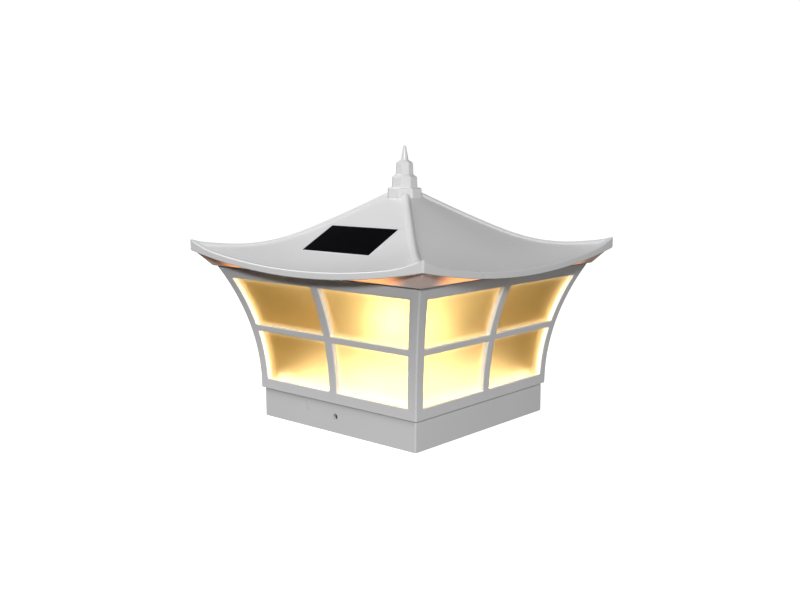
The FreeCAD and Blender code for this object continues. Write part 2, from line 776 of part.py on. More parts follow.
# ---- leads ----------------------------------------------------------------------------------
def lead(points):
    """Round lead along straight runs joined by tangent arcs, each as large as its runs allow."""
    points = [V(*p) for p in points]
    edges = []
    start = points[0]
    for before, corner, after in zip(points, points[1:], points[2:]):
        into, out = corner - before, after - corner
        shorter = min(into.Length, out.Length)
        half_turn = into.getAngle(out) / 2
        trim = bend_share * shorter
        radius = trim / math.tan(half_turn)
        a, b = corner - into.normalize() * trim, corner + out.normalize() * trim
        inward = (out - into).normalize()
        middle = corner + inward * (radius / math.cos(half_turn) - radius)
        edges.append(Part.makeLine(start, a))
        edges.append(Part.Arc(a, middle, b).toShape())
        start = b
        assert radius > lead_radius, radius
    edges.append(Part.makeLine(start, points[-1]))
    path = Part.Wire(edges)
    direction = (points[1] - points[0]).normalize()
    profile = Part.Wire([Part.Circle(points[0], direction, lead_radius).toShape()])
    tube = path.makePipeShell([profile], True, False)
    expected = math.pi * lead_radius ** 2 * path.Length
    print("lead", round(path.Length, 1), "mm long, volume over section times length",
          round(tube.Volume / expected, 4))
    return tube


def lead_pair(route, offset):
    """Two leads side by side."""
    shift = V(*offset) * (lead_spacing / 2)
    return [lead([V(*point) + shift * side for point in route]) for side in (-1, 1)]


def make_panel_leads():
    """From the back of the panel through the roof to the board."""
    start = panel_centre - panel_normal * panel_thickness
    below = panel_centre - panel_normal * (pocket_depth + panel_floor + 6)
    end_x, end_y = board_x - 2, board_y - 9
    return lead_pair([start, below, (end_x / 2, end_y - 18, board_face + 9),
                      (end_x, end_y, board_face + 8), (end_x, end_y, board_face)], (1, 0, 0))


def make_battery_leads():
    """From both contacts, out of the ends of the bay and across to the board."""
    end = bay_half_length
    landing = board_y + board_size_y / 2 - 4
    left = [(-end, battery_y, cell_level), (-end - 7, battery_y, cell_level),
            (-end - 9, battery_y - 14, cell_level + 1), (board_x - 6, landing, board_face + 7),
            (board_x - 6, landing, board_face)]
    right = [(end, battery_y, cell_level), (end + 6, battery_y, cell_level),
             (end + 7, battery_y - 13, cell_level + 1), (20, battery_y - 20, cell_level + 5),
             (0, battery_y - 21, cell_level + 5), (board_x + 8, landing, board_face + 8),
             (board_x + 8, landing, board_face)]
    return [lead(left), lead(right)]


def make_lamp_leads():
    """From the board over the flange and down inside the stem to the lights."""
    x, y = board_x + 15, board_y + 3
    return lead_pair([(x, y, board_face), (x, y, board_face + 5), (-9, -3, board_face + 9),
                      (0, -1, board_face + 6), (0, -1, board_face - 8), (0.5, 0, stem_bottom + 14),
                      (0.5, 0, stem_bottom + led_board_thickness)], (0, 1, 0))


def make_switch_leads():
    """From the end of the switch, over the stem's flange and down to the board."""
    end = switch_x + knob_travel / 2 - switch_size[0] / 2
    low = tray_top + switch_size[2] - lead_spacing
    x, y = board_x + 14, board_y - 10
    return lead_pair([(end, switch_y, low), (end - 7, switch_y, low), (9, switch_y - 5, low + 1),
                      (-5, y, board_face + 5), (x, y, board_face + 7), (x, y, board_face)], (0, 1, 0))


# ---- build ----------------------------------------------------------------------------------
def build():
    os.makedirs("parts", exist_ok=True)
    save("post_collar", [make_collar()])
    save("lantern_frame", [make_frame()])
    pane = make_pane()
    for k, side in enumerate(("front", "right", "back", "left")):
        save("pane_" + side, [turned(pane, k)])
    save("pane_retainer", [make_retainer()])
    save("base_screws", [upright_screw(x, y, floor_bottom, True)
                         for x, y in corners(base_screw_half, base_screw_half)])
    save("roof_shell", [make_roof()])
    save("finial", [make_finial()])
    save("finial_screw", [upright_screw(0, 0, seat_level - seat_plate, False)])
    save("solar_panel", [on_slope(panel_width, panel_length, 0, -panel_thickness)])
    save("panel_seal", [make_panel_seal()])
    save("soffit_tray", [make_tray()])
    save("tray_screws", [upright_screw(x, y, tray_bottom, False)
                         for x, y in corners(tray_screw_x, tray_screw_y)])
    save("roof_gasket", [make_gasket()])
    save("battery_bay", [make_bay()])
    save("battery", [make_battery()])
    save("battery_contact", [contact_plate(bay_half_length - contact_thickness)])
    save("battery_spring", [make_spring()])
    save("battery_door", [make_door()])
    save("hinge_pin", [make_hinge_pin()])
    save("lamp_stem", [make_stem()])
    save("led_board", [make_led_board()])
    save("leds", make_leds())
    save("lamp_globe", [make_globe()])
    save("circuit_board", [make_board()])
    save("board_parts", make_board_parts())
    save("board_screws", make_board_screws())
    save("switch_body", [make_switch()])
    save("switch_knob", [make_knob()])
    save("panel_leads", make_panel_leads())
    save("battery_leads", make_battery_leads())
    save("lamp_leads", make_lamp_leads())
    save("switch_leads", make_switch_leads())


build()
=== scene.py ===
# %% [markdown]
# # A solar cap light for a square deck post
# The object is a white moulded lantern that sits on the end of a post: amber panes in a flared frame, a
# pagoda roof with a small solar panel, and a lamp inside. Its construction is already there as a frame of
# exact pieces. This lesson gives it its looks: smooth surfaces worked out with numpy, finishes made of
# shader nodes, a studio, and a camera. All shapes are worked out in millimetres and stored in metres.

import json
import math

import bmesh
import bpy
import numpy as np
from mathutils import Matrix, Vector

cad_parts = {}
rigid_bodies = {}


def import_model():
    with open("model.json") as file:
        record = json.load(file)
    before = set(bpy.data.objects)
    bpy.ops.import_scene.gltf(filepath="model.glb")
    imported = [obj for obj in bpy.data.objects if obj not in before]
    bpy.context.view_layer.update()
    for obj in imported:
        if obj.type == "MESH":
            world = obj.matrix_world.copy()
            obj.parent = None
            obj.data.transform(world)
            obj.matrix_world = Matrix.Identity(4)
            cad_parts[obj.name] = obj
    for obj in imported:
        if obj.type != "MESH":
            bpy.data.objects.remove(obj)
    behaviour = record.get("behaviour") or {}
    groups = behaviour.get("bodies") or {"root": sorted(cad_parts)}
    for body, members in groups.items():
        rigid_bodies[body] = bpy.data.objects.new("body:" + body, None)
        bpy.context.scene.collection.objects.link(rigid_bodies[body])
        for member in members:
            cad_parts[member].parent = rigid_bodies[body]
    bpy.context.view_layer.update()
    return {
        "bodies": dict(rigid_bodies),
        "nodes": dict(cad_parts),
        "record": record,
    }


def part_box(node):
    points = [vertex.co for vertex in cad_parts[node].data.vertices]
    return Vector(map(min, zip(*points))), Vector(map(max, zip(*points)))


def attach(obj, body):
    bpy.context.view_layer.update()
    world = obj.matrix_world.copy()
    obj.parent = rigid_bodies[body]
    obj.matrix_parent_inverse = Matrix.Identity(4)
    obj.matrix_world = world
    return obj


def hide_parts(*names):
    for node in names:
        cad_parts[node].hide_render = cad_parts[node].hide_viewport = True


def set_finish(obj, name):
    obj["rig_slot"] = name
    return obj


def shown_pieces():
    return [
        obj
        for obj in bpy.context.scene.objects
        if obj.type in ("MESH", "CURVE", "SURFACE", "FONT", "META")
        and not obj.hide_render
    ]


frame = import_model()
MM = 0.001
print("pieces in the frame:", len(frame["nodes"]))

# %% [markdown]
# ## Sizes
# Each new surface has to lie exactly where the construction has it. So the main sizes are read from the
# boxes of the frame's pieces, and only what a box can't tell, such as the width of a rail, is typed here.

# %% Sizes read from the frame
def corner(node, which):
    """Lowest (0) or highest (1) corner of a piece, in millimetres."""
    return np.array(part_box(node)[which]) / MM


collar_half = corner("post_collar", 1)[0]
frame_bottom, frame_top = corner("lantern_frame", 0)[2], corner("lantern_frame", 1)[2]
frame_top_half = corner("lantern_frame", 1)[0]
pane_bottom, pane_top = corner("pane_front", 0)[2], corner("pane_front", 1)[2]
eave_half = corner("roof_shell", 1)[0]
tray_bottom = corner("roof_gasket", 1)[2]
seat_level = corner("finial", 0)[2]
print("frame", round(frame_bottom, 2), "to", round(frame_top, 2), "mm, eaves", round(2 * eave_half, 1))

# %% Sizes of the lantern frame
frame_half = collar_half + 1.8
flare_start = frame_bottom + 1.3
wall = 3.0
post_width = 6.8
mullion_width = 6.6
bottom_rail = 6.9
middle_rail = 4.3
middle_rail_level = frame_bottom + 41.65
top_rail = 7.2
pane_gap = 0.15
pane_thickness = 2.0
flare_run = frame_top_half - frame_half
flare_rise = frame_top - flare_start
flare_radius = (flare_rise ** 2 + flare_run ** 2) / (2 * flare_run)
print("radius of the flare", round(flare_radius, 1), "mm")

# %% [markdown]
# ## Turning arrays into pieces
# A surface is a grid of points: rows and columns of an array. `grid_faces` joins neighbours into quads, and
# a row or column can be closed into a ring. `make_piece` puts arrays into a mesh, merges points that fall
# together, such as a pole or the seam between two grids, and turns all faces outwards.

# %% Helpers for meshes
def grid_faces(rows, columns, close_rows=False, close_columns=False):
    """Quads of a grid whose point (i, j) has the number i * columns + j."""
    i, j = np.meshgrid(np.arange(rows if close_rows else rows - 1),
                       np.arange(columns if close_columns else columns - 1), indexing="ij")
    down, right = (i + 1) % rows, (j + 1) % columns
    return np.stack([i * columns + j, i * columns + right, down * columns + right, down * columns + j], -1)


def join(grids):
    """One array of points and one of quads, from a list of (points, quads)."""
    points, quads, start = [], [], 0
    for p, q in grids:
        points.append(p.reshape(-1, 3))
        quads.append(q.reshape(-1, 4) + start)
        start += len(points[-1])
    return np.concatenate(points), np.concatenate(quads)


def quarter_turn(k):
    """The matrix that turns rows of points by k quarters round the vertical axis."""
    c, s = round(math.cos(k * math.pi / 2)), round(math.sin(k * math.pi / 2))
    return np.array([[c, s, 0], [-s, c, 0], [0, 0, 1]])


def quarter_turns(points, quads):
    """The same grid four times round the vertical axis."""
    return join([(points @ quarter_turn(k), quads) for k in range(4)])


merge_within, shortest_edge = 2e-3, 1e-3    # mm
sharp_above = 40.0                          # degrees between two faces


def make_piece(name, points, quads, body, slot, stands_for=()):
    """A closed mesh from arrays in millimetres, riding on a body, with its sharp edges marked by angle."""
    mesh = bpy.data.meshes.new(name)
    mesh.from_pydata((np.asarray(points).reshape(-1, 3) * MM).tolist(), [],
                     np.asarray(quads).reshape(-1, 4).tolist())
    work = bmesh.new()
    work.from_mesh(mesh)
    bmesh.ops.remove_doubles(work, verts=work.verts, dist=merge_within * MM)
    bmesh.ops.dissolve_degenerate(work, edges=work.edges, dist=shortest_edge * MM)
    bmesh.ops.recalc_face_normals(work, faces=work.faces)
    open_edges = sum(len(e.link_faces) != 2 for e in work.edges)
    work.to_mesh(mesh)
    work.free()
    mesh.shade_smooth()
    mesh.set_sharp_from_angle(angle=math.radians(sharp_above))
    piece = bpy.data.objects.new(name, mesh)
    bpy.context.scene.collection.objects.link(piece)
    even = piece.modifiers.new("Even shading", "WEIGHTED_NORMAL")
    even.keep_sharp = True
    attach(piece, body)
    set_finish(piece, slot)
    if stands_for:
        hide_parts(*stands_for)
    print(name, len(mesh.polygons), "faces, open edges", open_edges)
    return piece


nearly_straight, share_of_side = math.radians(88), 0.45


def soften(profile, radius, steps=4):
    """The profile with each inner corner replaced by an arc: it starts and ends where the corner's two
    sides are a tangent's length away, radius times the tangent of half the turn."""
    profile = np.asarray(profile, float)
    out = [profile[0]]
    for before, here, after in zip(profile, profile[1:], profile[2:]):
        a, b = before - here, after - here
        la, lb = np.linalg.norm(a), np.linalg.norm(b)
        a, b = a / la, b / lb
        half = math.acos(np.clip(a @ b, -1, 1)) / 2
        if half > nearly_straight:
            out.append(here)
            continue
        r = min(radius, share_of_side * min(la, lb) * math.tan(half))
        centre = here + (a + b) / np.linalg.norm(a + b) * r / math.sin(half)
        first, last = here + a * r / math.tan(half), here + b * r / math.tan(half)
        turn = math.pi - 2 * half
        for t in np.linspace(0, turn, steps):
            way = (first - centre) * math.sin(turn - t) + (last - centre) * math.sin(t)
            out.append(centre + way / np.linalg.norm(way) * r)
    out.append(profile[-1])
    return np.array(out)


def turned(profile, centre=(0, 0), steps=48):
    """A profile of (radius, level) carried once round an upright axis through centre."""
    turn = np.linspace(0, 2 * np.pi, steps, endpoint=False)
    r, level = profile[:, 0, None], profile[:, 1, None] + 0 * turn
    points = np.stack([centre[0] + r * np.cos(turn), centre[1] + r * np.sin(turn), level], -1)
    return points, grid_faces(len(profile), steps, close_columns=True)


# %% [markdown]
# ## The lantern frame
# The frame is moulded in one shot: four walls that curve outwards, with four windows in each. Cutting holes
# with booleans would leave ragged shading, so each window is a ring of its own: a closed outline carried
# from the borders of its cell over the face, round the soft edge, through the wall and out on the inner
# face. Neighbouring rings share the points of their borders, and merging those makes one skin.

# %% The flared side
def half_at(level, inset=0.0):
    """Half width of a side: upright up to the start of the flare, then an arc. Its centre lies outside, one
    radius away, so the half width is that far out less the root of (radius + inset)^2 - rise^2."""
    rise = np.maximum(level - flare_start, 0)
    return frame_half + flare_radius - np.sqrt((flare_radius + inset) ** 2 - rise ** 2)


arc_steps, side_steps, height_steps = 5, 6, 14
corner_p, corner_q = 0.018, 0.018    # the share of a window's width and height that its corner takes


def outline(rounded):
    """A unit square's outline, anticlockwise from its right lower corner. Its corners are quarter ellipses
    when rounded, and otherwise the same points pushed out to the square, so that the two match."""
    out = []
    ends = [(1 - corner_p, corner_q), (1 - corner_p, 1 - corner_q),
            (corner_p, 1 - corner_q), (corner_p, corner_q)]
    for k, (p, q) in enumerate(ends):
        angle = np.radians(np.linspace(-90, 0, arc_steps) + 90 * k)
        c, s = np.cos(angle), np.sin(angle)
        push = 1 if rounded else np.maximum(np.abs(c), np.abs(s))
        arc = np.stack([p + corner_p * c / push, q + corner_q * s / push], -1)
        out.append(arc)
        if k % 2 == 0:
            rest = np.linspace(corner_q, 1 - corner_q, height_steps)[1:-1]
            line = np.stack([0 * rest + (k == 0), rest], -1)
            out.append(line if k == 0 else line[::-1])
        else:
            rest = np.linspace(1 - corner_p, corner_p, side_steps)[1:-1]
            line = np.stack([rest, 0 * rest + (k == 1)], -1)
            out.append(line if k == 1 else line[::-1])
    return np.concatenate(out)


cell_outline, window_outline = outline(False), outline(True)
edge_radius = 1.0
window_edge = 0.5
print("points round a window:", len(window_outline))


def on_side(x, level, inset):
    """Points of the front side's face, or of the face that lies inset millimetres behind it."""
    return np.stack([x, -half_at(level, inset), level], -1)


def window_ring(side, cell, window):
    """One window of the front wall. cell and window are its (lower, upper) levels, and side is -1 or 1."""
    def cell_loop(inset, corner_inset):
        level = cell[0] + (cell[1] - cell[0]) * cell_outline[:, 1]
        return on_side(side * (half_at(level, inset) - corner_inset) * cell_outline[:, 0], level, inset)

    def window_loop(grown, inset):
        level = window[0] - grown + (window[1] - window[0] + 2 * grown) * window_outline[:, 1]
        near = mullion_width / 2 - grown
        far = half_at(level, post_width) + grown
        return on_side(side * (near + (far - near) * window_outline[:, 0]), level, inset)

    turn = np.radians(np.linspace(0, 90, 5))
    loops = [cell_loop(0, edge_radius)]
    loops += [window_loop(window_edge * (1 - math.sin(t)), window_edge * (1 - math.cos(t))) for t in turn]
    loops += [window_loop(0, wall / 2), window_loop(0, wall), cell_loop(wall, 0)]
    points = np.stack(loops)
    return points, grid_faces(len(loops), points.shape[1], close_columns=True)


# %% The whole frame
lower_sill, lower_head = frame_bottom + bottom_rail, middle_rail_level - middle_rail / 2
upper_sill, upper_head = middle_rail_level + middle_rail / 2, frame_top - top_rail
rows = [((frame_bottom, middle_rail_level), (lower_sill, lower_head)),
        ((middle_rail_level, frame_top), (upper_sill, upper_head))]
wall_grids = [window_ring(side, cell, window) for cell, window in rows for side in (-1, 1)]


def post_levels():
    """Levels of the points where the rings meet the corner posts."""
    q = np.unique(np.round(cell_outline[cell_outline[:, 0] == 1][:, 1], 9))
    return np.unique(np.concatenate([low + (high - low) * q for (low, high), _ in rows]).round(9))


edge_turn = np.radians(np.linspace(0, 90, 7))


def edge_arc(inner):
    """A quarter circle round the plan's point (inner, -inner)."""
    return [inner + edge_radius * np.sin(edge_turn), -inner - edge_radius * np.cos(edge_turn)]


def corner_post():
    """The rounded vertical edge: a quarter circle carried up the flare."""
    level = post_levels()[:, None]
    points = np.stack(edge_arc(half_at(level) - edge_radius) + [level + 0 * edge_turn], -1)
    return points, grid_faces(*points.shape[:2])


def rim(level):
    """The flat upper or lower end of the wall, from its outside to its inside."""
    p = np.unique(np.round(cell_outline[cell_outline[:, 1] == 1][:, 0], 9))
    p = np.unique(np.concatenate([-p, p]))
    inner = half_at(level) - edge_radius
    outside = np.concatenate([np.stack([inner * p, 0 * p - half_at(level)], -1),
                              np.stack(edge_arc(inner), -1)])
    inside_half = half_at(level, wall)
    inside = np.concatenate([np.stack([inside_half * p, 0 * p - inside_half], -1),
                             np.tile([[inside_half, -inside_half]], (len(edge_turn), 1))])
    points = np.stack([np.column_stack([ring, np.full(len(ring), level)]) for ring in (outside, inside)])
    return points, grid_faces(*points.shape[:2])


one_side = join(wall_grids + [corner_post(), rim(frame_bottom), rim(frame_top)])
make_piece("frame_walls", *quarter_turns(*one_side), "lantern", "white_abs", ["lantern_frame"])

# %% [markdown]
# Inside its foot the frame has a flange for the screws that hold the collar. It is a hoop of four mitred
# sides, so a profile is carried round a square, and each screw boss is turned like a pot.

# %% The flange inside the foot of the frame, with its four screw bosses
flange_inner, flange_top = frame_half - 11.8, pane_bottom
screw_half = frame_half - 11.3
boss_radius, boss_top, boss_bore, bore_floor = 3.5, flange_top + 6.3, 1.25, flange_top + 1
moulded_edge = 0.3


def square_ring(outer, inner, low, high, edge):
    """A square hoop: a four-cornered profile of (half width, level), its edges softened, carried round."""
    profile = soften([(inner, (low + high) / 2), (inner, high), (outer, high), (outer, low), (inner, low),
                      (inner, (low + high) / 2)], edge)
    sides = np.array([(-1, -1), (1, -1), (1, 1), (-1, 1)])
    points = np.stack([np.column_stack([profile[:, :1] * side, profile[:, 1]]) for side in sides], 1)
    return points, grid_faces(len(profile), 4, close_columns=True)


boss = soften([(0, flange_top), (boss_radius, flange_top), (boss_radius, boss_top), (boss_bore, boss_top),
               (boss_bore, bore_floor), (0, bore_floor)], moulded_edge)
make_piece("frame_flange", *square_ring(frame_half - wall / 2, flange_inner, frame_bottom, flange_top,
                                        moulded_edge), "lantern", "white_abs")
make_piece("frame_bosses", *join([turned(boss, (sx * screw_half, sy * screw_half), 24)
                                  for sx in (-1, 1) for sy in (-1, 1)]), "lantern", "white_abs")

# %% [markdown]
# ## The panes
# Each pane is a curved sheet of frosted amber polycarbonate, 2 mm thick. It is a grid of two parameters,
# across and up, on the outer and the inner face of the sheet; the last columns join the two faces.

# %% Four curved panes
pane_columns, pane_rows = 13, 25


def pane_grid():
    """Across runs round the sheet: over its outer face, round the edge and back over its inner face."""
    across = np.linspace(-1, 1, pane_columns)
    level = np.linspace(pane_bottom, pane_top, pane_rows)[:, None]
    half = half_at(level, wall + pane_thickness + 2 * pane_gap)
    faces = [on_side(half * across, level + 0 * across, wall + pane_gap),
             on_side(half * across[::-1], level + 0 * across, wall + pane_gap + pane_thickness)]
    points = np.concatenate(faces, 1)
    ends = [np.stack([points[row, :pane_columns], points[row, :pane_columns - 1:-1]]) for row in (0, -1)]
    return join([(points, grid_faces(*points.shape[:2], close_columns=True))]
                + [(end, grid_faces(2, pane_columns)) for end in ends])


pane_points, pane_quads = pane_grid()
panes = []
for k, side in enumerate(("front", "right", "back", "left")):
    panes.append(make_piece("amber_" + side, pane_points @ quarter_turn(k), pane_quads, "lantern",
                            "amber_pane", ["pane_" + side]))

# %% [markdown]
# ## The roof
# Seen from above, the roof is four triangular slopes. One slope is a grid: a row lies at one distance from
# the axis, and a column runs from the finial down to the eave. The height is a formula of both. The rows go
# on past the eave: over the raised rim, down the fascia, and back along the underside, so one grid closes
# on itself. Columns crowd at the ridges, where the rounded ribs need them.

# %% Sizes of the roof
eave_level = tray_bottom + 2.9
eave_slope = 0.1145
slope_curl = 0.00549
slope_ease = 0.0000176
eave_arc_radius = 496.0
sweep_inset, sweep_length = 55.6, 45.0
flick_height, flick_length = 3.1, 25.6
roof_thickness = 2.5
rim_width, rim_height = 3.0, 1.4
rib_half_width, rib_height, rib_sink = 2.6, 1.2, 1.0
seat_plate, seat_half = 2.7, 11.5
panel_half_width, panel_half_length = 28.8, 15.2
panel_gap, panel_border, border_proud = 0.2, 1.8, 0.2
pocket_depth, pocket_floor = 3.1, 1.6
panel_inset = 48.0
panel_distance = eave_half - panel_inset
print("eaves at", round(eave_level, 1), "mm, panel", round(panel_distance, 1), "mm from the axis")

# %% The height of a slope
def slope_level(distance):
    """A cubic of the way inwards from the eave: it steepens quickly at first, and less near the axis."""
    inwards = eave_half - distance
    return eave_level + eave_slope * inwards + slope_curl * inwards ** 2 - slope_ease * inwards ** 3


def roof_level(side, distance):
    """The slope's height, plus an arc along the eave that fades in over the sweep's length, plus a last
    upward flick at the corners."""
    t = np.clip((distance - eave_half + sweep_inset) / sweep_length, 0, 1)
    sweep = side ** 2 / (2 * eave_arc_radius) * t * t * (3 - 2 * t)
    flick = flick_height * (np.maximum(np.abs(side) - eave_half + flick_length, 0) / flick_length) ** 2
    return slope_level(distance) + sweep + flick


def smooth_max(a, b, softness):
    """The larger of two heights, with a rounded valley: half of the sum plus the root of
    (difference^2 + softness^2)."""
    return (a + b + np.sqrt((a - b) ** 2 + softness ** 2)) / 2


rib_rise = rib_height + rib_sink
rib_radius = (rib_half_width ** 2 + rib_rise ** 2) / (2 * rib_rise)


def rib_level(side, distance):
    """The rounded rib over the ridge: a circle across it. The distance to the ridge in plan is
    (distance - side) / root 2, and the circle stands on the ridge's own height at the nearest point."""
    off = (distance - np.abs(side)) / math.sqrt(2)
    foot = distance - off / math.sqrt(2)
    bulge = np.sqrt(np.maximum(rib_radius ** 2 - off ** 2, 0)) + rib_height - rib_radius
    return np.where(off < rib_radius, roof_level(foot, foot) + bulge, -1e3)


print("ribs are part of a circle of", round(rib_radius, 2), "mm")

# %% Rows and columns of a slope
slope_tilt = math.atan(eave_slope + 2 * slope_curl * panel_inset - 3 * slope_ease * panel_inset ** 2)
border_half_width = panel_half_width + panel_gap + panel_border
border_half_run = (panel_half_length + panel_gap + panel_border) * math.cos(slope_tilt)
open_near, open_far = panel_distance - border_half_run, panel_distance + border_half_run
rim_start = eave_half - rim_width
first_row, inner_rows, panel_rows, outer_rows = 12.5, 12, 13, 12
top_rows = np.concatenate([np.linspace(first_row, open_near, inner_rows),
                           np.linspace(open_near, open_far, panel_rows)[1:],
                           np.linspace(open_far, rim_start - 0.5, outer_rows)[1:]])
rib_columns = np.array([0, 0.3, 0.65, 1.05, 1.45, 1.8, 2.1, 2.35, 2.5, 2.62, 2.75, 3.0, 3.5])
middle_count, flank_count = 13, 8
above_panel, share_of_row = 0.98, 0.9    # how far the middle columns draw together above the panel


def columns_at(distance):
    """Places to the side for the columns at one distance: the ribs' columns keep their distance to the
    ridges, the middle ones stay beside the panel's opening, and the rest spread between them."""
    rib_side = distance - math.sqrt(2) * rib_columns
    inner = rib_side[-1]
    open_half = border_half_width
    if distance < open_near:
        open_half *= above_panel * distance / open_near
    open_half = min(open_half, share_of_row * inner)
    middle = np.linspace(-open_half, open_half, middle_count)
    flank = np.linspace(open_half, inner, flank_count)[1:]
    right = np.concatenate([flank, rib_side[::-1][1:]])
    return np.concatenate([-right[::-1], middle, right])


rim_edge, rim_foot, rim_inner_edge, low_edge = 0.7, 0.4, 0.5, 0.5


def arc(centre, radius, first, last, steps=5):
    """Points round a centre, from the first to the last angle in degrees."""
    turn = np.radians(np.linspace(first, last, steps))
    return np.stack([centre[0] + radius * np.cos(turn), centre[1] + radius * np.sin(turn)], -1)


rim_rows = np.concatenate([arc((rim_start - rim_foot, rim_foot), rim_foot, -90, 0),
                           arc((rim_start + rim_inner_edge, rim_height - rim_inner_edge),
                               rim_inner_edge, 180, 90),
                           arc((eave_half - rim_edge, rim_height - rim_edge), rim_edge, 90, 0)])
corner_round = 1.2
fascia_shares = (0.3, 0.6, 0.85)
print("rows:", len(top_rows), "on the slope,", len(rim_rows), "over the rim")


def rounded_plan(side, distance):
    """Pulls the sharp corner of the eaves onto a small circle: a point past the circle's centre keeps its
    larger offset from it as its true distance."""
    centre = eave_half - corner_round
    x, y = np.abs(side) - centre, distance - centre
    length = np.hypot(x, y)
    scale = np.where((x > 0) & (y > 0), np.maximum(x, y) / np.maximum(length, 1e-9), 1)
    return np.where(x > 0, np.sign(side) * (centre + x * scale), side), \
        np.where((x > 0) & (y > 0), centre + y * scale, distance)


def fascia_low(side):
    """The fascia's lower edge: one long arc."""
    return tray_bottom + eave_arc_radius - np.sqrt(eave_arc_radius ** 2 - side ** 2)


# %% One slope as a closed grid
rib_blend = 0.12                       # how softly the ribs grow out of the slope
seat_reach, blend_run, first_share = 12.0, 10.0, 0.06


def octagon_plan(count, flat_half):
    """Places (side, distance) on the front quarter of an octagon's outline, evenly by angle."""
    angle = np.radians(np.linspace(-45, 45, count))
    off = np.where(np.abs(angle) < math.pi / 8, np.abs(angle), math.pi / 4 - np.abs(angle))
    radius = flat_half / np.cos(off)
    return radius * np.sin(angle), radius * np.cos(angle)


def slope_rows():
    """All rows of the front slope as an array of points; the second result tells where the top's and the
    underside's rows start."""
    sides = [columns_at(d) for d in top_rows]
    count = len(sides[0])
    oct_side, oct_distance = octagon_plan(count, seat_half)

    def surface(side, distance, lift):
        return smooth_max(roof_level(side, distance) + lift, rib_level(side, distance), rib_blend)

    out = [np.stack([0 * oct_side, 0 * oct_side, 0 * oct_side + seat_level], -1),
           np.stack([oct_side, -oct_distance, 0 * oct_side + seat_level], -1),
           np.stack([oct_side, -oct_distance, surface(oct_side, oct_distance, 0)], -1)]
    top_start = len(out)
    for d, side in zip(top_rows, sides):
        share = min(max((d - seat_reach) / blend_run, first_share), 1.0)
        place_side = oct_side + (side - oct_side) * share
        place_distance = oct_distance + (d - oct_distance) * share
        out.append(np.stack([place_side, -place_distance, surface(place_side, place_distance, 0)], -1))
    for d, lift in rim_rows:
        side = columns_at(d)
        x, y = rounded_plan(side, 0 * side + d)
        out.append(np.stack([x, -y, surface(side, 0 * side + d, lift)], -1))
    side = columns_at(eave_half)
    x, y = rounded_plan(side, 0 * side + eave_half)
    upper, lower = out[-1][:, 2], fascia_low(side)
    for share in fascia_shares:
        out.append(np.stack([x, -y, upper + (lower + low_edge - upper) * share], -1))
    for inwards, rise in low_edge - arc((0, 0), low_edge, 0, 90):
        side = columns_at(eave_half - inwards)
        x, y = rounded_plan(side, 0 * side + eave_half - inwards)
        out.append(np.stack([x, -y, fascia_low(side) + rise], -1))
    side = columns_at(rim_start)
    out.append(np.stack([side, 0 * side - rim_start, fascia_low(side)], -1))
    under_start = len(out)
    under = np.concatenate([[rim_start], top_rows[::-1]])
    for d in under:
        side = columns_at(d)
        out.append(np.stack([side, 0 * side - d, roof_level(side, 0 * side + d) - roof_thickness], -1))
    out.append(np.stack([side, 0 * side - d, 0 * side + seat_level - seat_plate], -1))
    out.append(np.stack([0 * side, 0 * side, 0 * side + seat_level - seat_plate], -1))
    return np.stack(out), top_start, under_start + 1


slope, top_start, under_start = slope_rows()
row_count, column_count = slope.shape[:2]
slope_quads = grid_faces(row_count, column_count)
print("one slope:", row_count, "rows of", column_count, "points")

# %% [markdown]
# The front slope has a pocket for the solar panel. Its opening is a block of the grid's own cells, which
# are left out above and below. Two loops of points round the opening are then carried on: one makes the
# thin raised border and the pocket's walls, and the other the outside of the tub that hangs underneath.

# %% The panel's pocket
middle_first = (column_count - middle_count) // 2
middle_last = middle_first + middle_count - 1
near_row = top_start + inner_rows - 1
far_row = near_row + panel_rows - 1
under_far_row = under_start + len(top_rows) - 1 - (far_row - top_start)
under_near_row = under_far_row + panel_rows - 1
panel_run = 2 * panel_half_length * math.cos(slope_tilt)
panel_raise = (slope_curl - 3 * slope_ease * panel_inset) * panel_run ** 2 / 4
panel_middle = np.array([0, -panel_distance, slope_level(panel_distance) + panel_raise])


def on_panel(across, along, height):
    """A point measured in the panel's own plane: across it, up the slope along it, and off its face."""
    across, along, height = np.broadcast_arrays(across, along, height)
    c, s = math.cos(slope_tilt), math.sin(slope_tilt)
    return panel_middle + np.stack([across, along * c - height * s, along * s + height * c], -1)


def rectangle_loop(half_width, half_length, height):
    """A rectangle's outline on the panel's plane, with as many points as the opening has."""
    a = np.linspace(-half_width, half_width, middle_count)
    b = np.linspace(-half_length, half_length, panel_rows)
    across = np.concatenate([a, 0 * b[1:-1] + half_width, a[::-1], 0 * b[1:-1] - half_width])
    along = np.concatenate([0 * a + half_length, b[1:-1][::-1], 0 * a - half_length, b[1:-1]])
    return on_panel(across, along, height)


def opening_loop(points, near, far):
    """The opening's outline on the grid: its upper edge, right side, lower edge and left side."""
    step = 1 if far > near else -1
    return np.concatenate([points[near, middle_first:middle_last + 1],
                           points[near + step:far:step, middle_last],
                           points[far, middle_first:middle_last + 1][::-1],
                           points[far - step:near:-step, middle_first]])


def open_cells(quads, first, last):
    """Which cells stay when the opening's rows, from first to last, are left out."""
    keep = np.ones(quads.shape[:2], bool)
    keep[first:last, middle_first:middle_last] = False
    return keep


